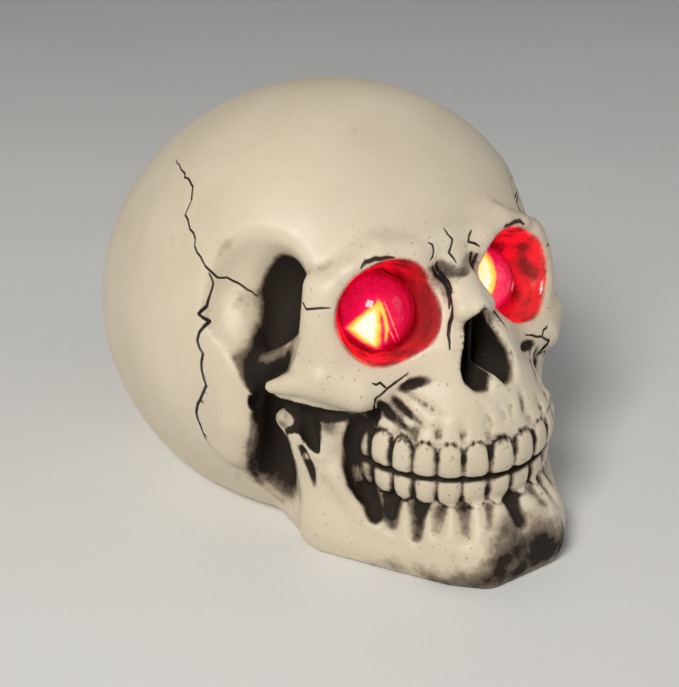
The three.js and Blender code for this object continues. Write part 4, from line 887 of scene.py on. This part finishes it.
def cut_cracks(mesh):
    net = bmesh.new()
    net.from_mesh(mesh)
    tree, widths = crack_tree(BVHTree.FromBMesh(net))
    for reach in NET_REACHES:
        near = {point for point in net.verts if tree.find(point.co / MM)[2] < reach}
        edges = [edge for edge in net.edges if edge.verts[0] in near and edge.verts[1] in near]
        edges = [edge for edge in edges if edge.calc_length() > CRACK_EDGE * MM]
        bmesh.ops.subdivide_edges(net, edges=edges, cuts=1, use_grid_fill=True)
    net.normal_update()
    depth = net.verts.layers.float.new("crack")
    for point in net.verts:
        _, index, away = tree.find(point.co / MM)
        if away < CRACK_REACH:
            width = widths[index]
            point[depth] = math.exp(-(away / (CRACK_STAIN * width)) ** 2)
            point.co -= point.normal * CRACK_DEPTH * math.exp(-(away / width) ** 2) * MM
    net.to_mesh(mesh)
    net.free()
    mesh.update()


cut_cracks(skull.data)

# Wash and painted shade: how far each point of the skin is shut in, and painted dark places, some of them
# painted shadows

# Spots of wash and painted shade: temple smears, painted shade under the cheek, behind the branch and on the
# chin, and painted shadow along the jaw's bottom edge and under the mastoid
WASH_AND_SHADE_SPOTS = [
    # x, y, z, radius, strength
    (37, -25, 50, 5, 0.35),
    (38, -21, 56, 4, 0.28),
    (30, -40.5, 33.5, 3.2, 0.6),
    (36, -29, 24, 7, 0.48),
    (38, -25, 20, 6, 0.34),
    (23.5, -46, 25, 5, 0.4),
    (19, -51, 36, 4, 0.3),
    (5.6, -49, 61, 3, 0.40),
    (6.8, -51, 54, 3, 0.30),
    (2, -74, 4, 6, 0.75),
    (9, -72, 4, 5, 0.65),
    (4, -70, 13, 4, 0.30),
    (18, -64, 0, 5, 0.55),
    (28, -50, 0, 4, 0.45),
    (0, -71, 9, 5, 0.30),
    (3, -70.8, 12, 6, 0.24),
    (8, -71, 10, 5, 0.22),
    (14, -68, 2, 4.5, 0.40),
    (22.6, -57.6, 1, 4, 0.42),
    (39, -24, 15, 6, 0.32),
    (33, -27, 9.5, 5, 0.30),
]

# Reach and strength of each test for shut-in skin, which gets painted shade and wash, and other measures of
# the paint
SHUT_IN = [(1.4, 0.95), (2.8, 0.55), (5.0, 0.35)]
SHUT_IN_START = 0.18
SHUT_IN_MOST = 1.3
WASH_AND_SHADE_MOST = 1.6
HOLE_STRENGTH = 1.15
HOLE_FADE = 0.7
OUTLINE_STRENGTH = 0.55
OUTLINE_MIDDLE = 0.15
OUTLINE_WIDTH = 0.5
PALE_FADE = 0.8
LIT_START = 0.55
LIT_FADE = 0.4
SHADE_WIDTH = 20
SHADE_HEIGHT = 60
LEFT_SHADE = -0.1
GLOW_WIDTH = 6.0
SPECK_LEAST = 0.12
SPECK_START = 28
SPECK_LENGTH = 18


def add_value(mesh, name, values):
    layer = mesh.attributes.new(name, "FLOAT", "POINT")
    layer.data.foreach_set("value", np.asarray(values, np.float32))


def read_points(mesh, kind):
    """A vector for each point of a mesh: its place in metres, or its normal."""
    flat = np.empty(3 * len(mesh.vertices))
    mesh.vertices.foreach_get(kind, flat)
    return flat.reshape(-1, 3)


def away_from(half, place):
    return np.sqrt(sum((value - middle) ** 2 for value, middle in zip(half, place)))


def shut_in(where, out, reach):
    """0 where the way out of the skin is free over this reach, and more the closer other skin is."""
    return np.clip(1 - field.sample(where + out * reach) / reach, 0, 1.5)


def wash_and_shade_values(where, out):
    # Painted shade and wash in recesses, more the more the skin is shut in
    wash_and_shade = -SHUT_IN_START
    for reach, strength in SHUT_IN:
        wash_and_shade = wash_and_shade + strength * shut_in(where, out, reach)
    wash_and_shade = np.clip(wash_and_shade, 0, SHUT_IN_MOST)
    half = np.abs(where[:, 0]), where[:, 1], where[:, 2]
    # Spots of wash and painted shade
    for *place, radius, strength in WASH_AND_SHADE_SPOTS:
        wash_and_shade += strength * np.exp(-(away_from(half, place) / radius) ** 2)
    # Walls of dark holes: painted wash and shade, darker the deeper they lie
    depth = -field.sample(where, filled=True)
    for shape, dark_from in DARK_HOLES:
        inside = np.clip((HOLE_FADE - shape(*half)) / HOLE_FADE, 0, 1)
        wash_and_shade += HOLE_STRENGTH * inside * np.clip(depth / dark_from, 0, 1)
    outline = np.minimum.reduce([shape(*half) for shape in TOOTH_EDGES])
    wash_and_shade += OUTLINE_STRENGTH * np.clip(1 - np.abs(outline - OUTLINE_MIDDLE) / OUTLINE_WIDTH, 0, 1)
    # Pale forms keep part of it; on the temple fold this paler band is a painted highlight
    for shape, least in PALE_FORMS:
        wash_and_shade *= np.clip(shape(*half) / PALE_FADE, least, 1)
    return np.clip(wash_and_shade, 0, WASH_AND_SHADE_MOST)


def paint(mesh):
    """Values on the skin for its material: wash and painted shade, lit socket and its painted shade, painted
    red glow, and share of specks.
    """
    where = read_points(mesh, "co") / MM
    add_value(mesh, "wash_and_shade", wash_and_shade_values(where, read_points(mesh, "normal")))
    half = np.abs(where[:, 0]), where[:, 1], where[:, 2]
    add_value(mesh, "lit", np.clip((LIT_START - socket_funnel(*half)) / LIT_FADE, 0, 1))
    aside = where[:, 0] - np.sign(where[:, 0]) * EYE[0]
    side = np.where(where[:, 0] < 0, aside / SHADE_WIDTH, LEFT_SHADE)
    add_value(mesh, "shade", np.clip(0.5 + side - (where[:, 2] - EYE[2]) / SHADE_HEIGHT, 0, 1))
    add_value(mesh, "glow", np.exp(-((away_from(half, EYE) - LENS_RADIUS) / GLOW_WIDTH) ** 2))
    face = np.clip((-where[:, 1] - SPECK_START) / SPECK_LENGTH, 0, 1)
    add_value(mesh, "face", SPECK_LEAST + (1 - SPECK_LEAST) * face)


paint(skull.data)

# Materials


class Nodes:
    """Short names for building a material's nodes."""

    def __init__(self, name):
        self.material = bpy.data.materials.new(name)
        self.material.use_nodes = True
        self.tree = self.material.node_tree
        self.shader = self.tree.nodes["Principled BSDF"]
        self.place = self.tree.nodes.new("ShaderNodeTexCoord").outputs["Object"]

    def node(self, kind, settings=None, **inputs):
        made = self.tree.nodes.new("ShaderNode" + kind)
        for key, value in (settings or {}).items():
            setattr(made, key, value)
        for key, value in inputs.items():
            self.give(made.inputs[key.replace("_", " ")], value)
        return made

    def give(self, socket, value):
        if isinstance(value, bpy.types.NodeSocket):
            self.tree.links.new(value, socket)
        else:
            socket.default_value = value

    def set(self, **inputs):
        for key, value in inputs.items():
            self.give(self.shader.inputs[key.replace("_", " ")], value)

    def noise(self, scale, detail=3.0, roughness=0.55):
        made = self.node("TexNoise", Vector=self.place, Scale=scale, Detail=detail, Roughness=roughness)
        return made.outputs["Fac"]

    def value(self, name):
        return self.node("Attribute", {"attribute_name": name}).outputs["Fac"]

    def math(self, operation, a, b=0.0):
        made = self.node("Math", {"operation": operation})
        self.give(made.inputs[0], a)
        self.give(made.inputs[1], b)
        return made.outputs[0]

    def ramp(self, fac, *stops):
        made = self.node("ValToRGB", Fac=fac)
        marks = made.color_ramp.elements
        marks[0].position, marks[1].position = stops[0][0], stops[-1][0]
        for place, _ in stops[1:-1]:
            marks.new(place)
        for mark, (_, colour) in zip(marks, stops):
            mark.color = (*colour, 1.0)
        return made.outputs["Color"]

    def level(self, fac, low, high, start=0.0, end=1.0):
        made = self.node("MapRange", Value=fac)
        for socket, value in zip(("From Min", "From Max", "To Min", "To Max"), (low, high, start, end)):
            made.inputs[socket].default_value = value
        return made.outputs["Result"]

    def mix(self, fac, a, b):
        """Mix of two colours, which are the node's inputs 6 and 7 and its output 2."""
        made = self.node("Mix", {"data_type": "RGBA"})
        self.give(made.inputs["Factor"], fac)
        for socket, value in ((made.inputs[6], a), (made.inputs[7], b)):
            self.give(socket, value if isinstance(value, bpy.types.NodeSocket) else (*value, 1.0))
        return made.outputs[2]

    def bump(self, height, strength, distance):
        made = self.node("Bump", Height=height, Strength=strength, Distance=distance)
        self.give(self.shader.inputs["Normal"], made.outputs["Normal"])


IVORY_DARK = (0.66, 0.565, 0.415)
IVORY_PALE = (0.77, 0.68, 0.525)
WASH_AND_SHADE_BROWN = (0.20, 0.135, 0.085)
WASH_AND_SHADE_BLACK = (0.009, 0.006, 0.006)
SPECK_BROWN = (0.10, 0.07, 0.05)
CRACK_BLACK = (0.016, 0.011, 0.010)
SOCKET_RED = (0.13, 0.001, 0.004)
GLOW_RED = (1.0, 0.06, 0.03)
LIT_RED = (0.9, 0.002, 0.016)


def bone_material():
    """Ivory under a brown and black wash that also paints the shade, with specks, cracks and the painted red
    light of the eyes.
    """
    made = Nodes("bone_resin")
    broad = made.noise(28.0, 4.0)
    fine = made.noise(420.0, 6.0, 0.65)
    ivory = made.ramp(broad, (0.3, IVORY_DARK), (0.7, IVORY_PALE))
    blotch = made.math("MULTIPLY", made.level(made.noise(150.0, 5.0, 0.6), 0.3, 0.7), 0.55)
    wash_and_shade = made.math("ADD", made.value("wash_and_shade"), made.math("SUBTRACT", blotch, 0.28))
    # Brown, then black, for the wash and the painted shade
    brown = made.level(wash_and_shade, 0.22, 0.60)
    black = made.level(wash_and_shade, 0.45, 0.90)
    colour = made.mix(made.math("MULTIPLY", brown, 0.75), ivory, WASH_AND_SHADE_BROWN)
    colour = made.mix(made.math("MULTIPLY", black, 0.94), colour, WASH_AND_SHADE_BLACK)
    speck = made.math("MULTIPLY", made.level(made.noise(900.0, 3.0, 0.6), 0.64, 0.70), made.value("face"))
    colour = made.mix(made.math("MULTIPLY", speck, 0.55), colour, SPECK_BROWN)
    colour = made.mix(made.level(made.value("crack"), 0.15, 0.6), colour, CRACK_BLACK)
    lit = made.value("lit")
    colour = made.mix(made.math("MULTIPLY", lit, 0.95), colour, SOCKET_RED)
    made.set(Base_Color=colour)
    rough = made.level(fine, 0.2, 0.8, 0.36, 0.52)
    rough = made.math("ADD", rough, made.math("MULTIPLY", black, 0.30))
    made.set(Roughness=made.math("SUBTRACT", rough, made.math("MULTIPLY", lit, 0.45)))
    made.set(Specular_IOR_Level=made.level(black, 0.0, 1.0, 0.5, 0.12))
    # Painted red light of the lamps on the socket walls, in patches and less where the shade value is high,
    # and a painted red glow on the bone round the eyes
    made.set(Emission_Color=made.mix(lit, GLOW_RED, LIT_RED))
    glow_patches = made.level(made.noise(230.0, 5.0, 0.6), 0.40, 0.60, 0.02, 1.0)
    glow_patches = made.math("MULTIPLY", glow_patches, made.level(made.value("shade"), 0.2, 0.9, 1.0, 0.10))
    glow = made.math("MULTIPLY", made.value("glow"), made.level(black, 0.0, 1.0, 0.20, 0.0))
    made.set(Emission_Strength=made.math("ADD", glow, made.math("MULTIPLY", lit, glow_patches)))
    made.bump(made.math("ADD", fine, made.math("MULTIPLY", broad, 2.0)), 0.25, 0.0003)
    return made.material


def plain_material(name, dark, pale, scale, rough, metal=0.0, relief=0.0002):
    """Two tones in a noise, with a noise in the gloss and a fine relief."""
    made = Nodes(name)
    grain = made.noise(scale, 5.0)
    made.set(Base_Color=made.ramp(grain, (0.3, dark), (0.7, pale)))
    made.set(Roughness=made.level(made.noise(scale * 2.3, 3.0), 0.2, 0.8, *rough))
    made.set(Metallic=metal)
    made.bump(made.noise(scale * 4.0, 2.0), 0.4, relief)
    return made.material


skull.data.materials.clear()
skull.data.materials.append(bone_material())

# Starts of node names, of which the first that fits counts, with a material's name, two tones, scale of the
# grain and range of the roughness, and for metals their share and relief
LOOKS = [
    ("led_holder", "holder_rubber", (0.015, 0.015, 0.016), (0.03, 0.03, 0.032), 500, (0.6, 0.8)),
    ("led", "lamp_epoxy", (0.80, 0.70, 0.45), (0.95, 0.88, 0.66), 300, (0.05, 0.15)),
    ("battery_box", "box_plastic", (0.018, 0.018, 0.020), (0.030, 0.030, 0.033), 900, (0.42, 0.6)),
    ("battery_door", "door_plastic", (0.022, 0.022, 0.024), (0.036, 0.036, 0.039), 900, (0.42, 0.6)),
    (
        ("door_screw", "box_screw", "switch_screw"),
        "screw_steel", (0.42, 0.42, 0.43), (0.60, 0.60, 0.61), 700, (0.22, 0.4), 1.0, 0.00005,
    ),
    ("cell", "cell_jacket", (0.30, 0.30, 0.32), (0.44, 0.44, 0.46), 60, (0.25, 0.4), 0.8, 0.00003),
    (
        ("spring", "contact"),
        "contact_metal", (0.55, 0.54, 0.52), (0.72, 0.71, 0.69), 500, (0.2, 0.35), 1.0, 0.00003,
    ),
    ("switch_body", "switch_metal", (0.46, 0.46, 0.47), (0.62, 0.62, 0.63), 500, (0.25, 0.4), 1.0, 0.00003),
    ("switch_slider", "switch_plastic", (0.012, 0.012, 0.012), (0.024, 0.024, 0.024), 900, (0.4, 0.55)),
    ("circuit_board", "board_laminate", (0.008, 0.09, 0.03), (0.016, 0.15, 0.055), 200, (0.3, 0.45)),
    ("resistor", "resistor_body", (0.42, 0.30, 0.16), (0.60, 0.46, 0.27), 300, (0.4, 0.55)),
    (
        ("wire_led_right_red", "wire_led_left_red", "wire_positive", "wire_switch"),
        "wire_red", (0.30, 0.008, 0.008), (0.45, 0.014, 0.014), 400, (0.35, 0.5),
    ),
    ("wire", "wire_black", (0.010, 0.010, 0.010), (0.022, 0.022, 0.022), 400, (0.35, 0.5)),
]
MATERIALS = [(starts, plain_material(*row)) for starts, *row in LOOKS]

for name, shown in nodes.items():
    for starts, material in MATERIALS:
        if name.startswith(starts):
            shown.data.materials.clear()
            shown.data.materials.append(material)
            break

# Eyes: red domes lit from behind

GLASS_WALL = 1.6
SKIRT = 2.5
DOME_STEPS = 44
DOME_SIDES = 128

# Shift of the right beam, point of its fan, and thin glints beside it: start, lean, bend and width
BEAM_SHIFT = (0.10, -0.16)
FAN_POINT = (-0.94, -0.28)
GLINTS = [(0.10, -0.44, 0.06, 0.022), (0.13, -0.22, -0.30, 0.045), (0.27, -0.40, 0.0, 0.016)]


def dome_form(side):
    inner = LENS_RADIUS - GLASS_WALL
    profile = []
    for k in range(DOME_STEPS + 1):
        angle = math.pi / 2 * k / DOME_STEPS
        profile.append((LENS_RADIUS * math.sin(angle), -LENS_RADIUS * math.cos(angle)))
    profile.append((LENS_RADIUS, SKIRT))
    profile.append((inner, SKIRT))
    profile.append((inner, 0))
    profile.append((0, -inner))
    return lathe(profile, DOME_SIDES, EYE * (side, 1, 1))


def soft_step(value, low, high):
    t = np.clip((value - low) / (high - low), 0, 1)
    return t * t * (3 - 2 * t)


def right_beam(s, t):
    """Edges of the beam, halo round it and glints beside it, from places across and up in radii."""
    s, t = s - BEAM_SHIFT[0], t - BEAM_SHIFT[1]
    across, up = s - FAN_POINT[0], t - FAN_POINT[1]
    edges = [up - 0.75 * across, -up - 0.745 * across, s - 0.02 + 0.06 * t]
    halo = np.exp(-((s + 0.1) / 0.62) ** 2 - ((t + 0.05) / 0.7) ** 2)
    ends = soft_step(t, -0.78, -0.5) * soft_step(-t, -0.55, -0.25)
    glint = np.zeros(len(s))
    for start, lean, bend, width in GLINTS:
        curve = s - start - lean * t - bend * t * t
        glint += np.exp(-(curve / width) ** 2) * ends
    return edges, halo, np.clip(glint, 0, 1)


def left_beam(s, t):
    """The same for the left dome, without glints."""
    edges = [s - 0.44 + 0.45 * (t - 0.12) ** 2, t - 0.86, -0.95 - t]
    halo = np.exp(-((s - 0.45) / 0.42) ** 2 - ((t + 0.2) / 0.9) ** 2)
    return edges, halo, np.zeros(len(s))


def lamp_levels(where, side):
    """Brightness of the dome: the lamp's beam fills one side of it, and thin glints lie beside the beam."""
    ahead = np.array([-0.52, -0.74, 0.43])
    ahead /= np.linalg.norm(ahead)
    right = np.cross(np.array([0.0, 0.0, 1.0]), ahead)
    right /= np.linalg.norm(right)
    up = np.cross(ahead, right)
    spread = where - EYE * (side, 1, 1)
    spread = spread / np.linalg.norm(spread, axis=1)[:, None]
    s, t, front = spread @ right, spread @ up, spread @ ahead
    edges, halo, glint = right_beam(s, t) if side < 0 else left_beam(s, t)
    depth = -np.max(np.stack(edges), axis=0)
    seen = soft_step(front, -0.1, 0.15)
    limb = soft_step(front, 0.25, 0.6)
    beam = soft_step(depth, -0.05, 0.06)
    core = soft_step(depth, 0.05, 0.24)
    level = 0.20 + 0.14 * limb + 0.22 * halo * limb
    level = level + seen * (0.26 * beam + 0.26 * core + 0.30 * glint * (1 - beam))
    return np.clip(level, 0, 1)


def glow_material():
    made = Nodes("red_lens")
    grain = made.level(made.noise(900.0, 4.0), 0.3, 0.7, -0.05, 0.05)
    colour = made.ramp(
        made.math("ADD", made.value("lamp_level"), grain),
        (0.0, (0.06, 0.0, 0.003)),
        (0.28, (0.30, 0.001, 0.012)),
        (0.50, (0.85, 0.006, 0.075)),
        (0.62, (1.0, 0.10, 0.12)),
        (0.76, (1.0, 0.62, 0.03)),
        (0.90, (1.0, 0.90, 0.30)),
        (1.0, (1.0, 1.0, 0.85)),
    )
    made.set(Base_Color=(0.16, 0.0, 0.004, 1.0))
    made.set(Roughness=made.level(made.noise(300.0), 0.3, 0.7, 0.04, 0.12))
    made.set(Emission_Color=colour, Emission_Strength=1.0)
    made.set(IOR=1.45)
    return made.material


GLOW = glow_material()


def build_eye(name, side):
    dome = mesh_object("eye_dome_" + name, *dome_form(side))
    where = read_points(dome.data, "co") / MM
    add_value(dome.data, "lamp_level", lamp_levels(where, side))
    dome.data.materials.append(GLOW)
    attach(dome, "skull")
    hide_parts("eye_lens_" + name)


build_eye("right", -1)
build_eye("left", 1)

# Floor, light and camera, in metres


def paper_material():
    made = Nodes("floor_paper")
    made.set(Base_Color=made.ramp(made.noise(6.0), (0.3, (0.78, 0.78, 0.77)), (0.7, (0.82, 0.82, 0.81))))
    made.set(Roughness=0.55)
    return made.material


bpy.ops.mesh.primitive_plane_add(size=6.0, location=(0, 0, 0))
floor = bpy.context.object
floor.name = "floor"
floor.data.materials.append(paper_material())

world = bpy.data.worlds.new("studio")
bpy.context.scene.world = world
world.use_nodes = True
background = world.node_tree.nodes["Background"]
background.inputs["Color"].default_value = (0.80, 0.80, 0.80, 1.0)
background.inputs["Strength"].default_value = 0.25
LIGHT_AIM = (0, -0.01, 0.045)


def lamp(name, place, size, power, colour):
    light = bpy.data.lights.new(name, "AREA")
    light.size = size
    light.energy = power
    light.color = colour
    shown = show(name, light)
    shown.location = place
    aim = Vector(LIGHT_AIM) - Vector(place)
    shown.rotation_euler = aim.to_track_quat("-Z", "Y").to_euler()


lamp("key", (-0.55, -0.35, 0.65), size=0.30, power=5.6, colour=(1.0, 0.97, 0.92))
lamp("fill", (0.60, -0.55, 0.35), size=0.6, power=0.9, colour=(0.92, 0.96, 1.0))

camera = bpy.data.cameras.new("camera")
camera.lens = 66.8
camera.sensor_width = 36
camera.shift_x = -0.040
camera.shift_y = 0.0007
viewer = show("camera", camera)
turn, lift = -34.8 * DEG, 26.3 * DEG
back = Vector((math.sin(turn) * math.cos(lift), -math.cos(turn) * math.cos(lift), math.sin(lift)))
across = Vector((math.cos(turn), math.sin(turn), 0))
facing = Matrix((across, back.cross(across), back)).transposed().to_4x4()
facing.translation = Vector((-0.1577, -0.2389, 0.1685))
viewer.matrix_world = facing
bpy.context.scene.camera = viewer
bpy.context.scene.view_settings.view_transform = "Standard"

bpy.context.view_layer.update()
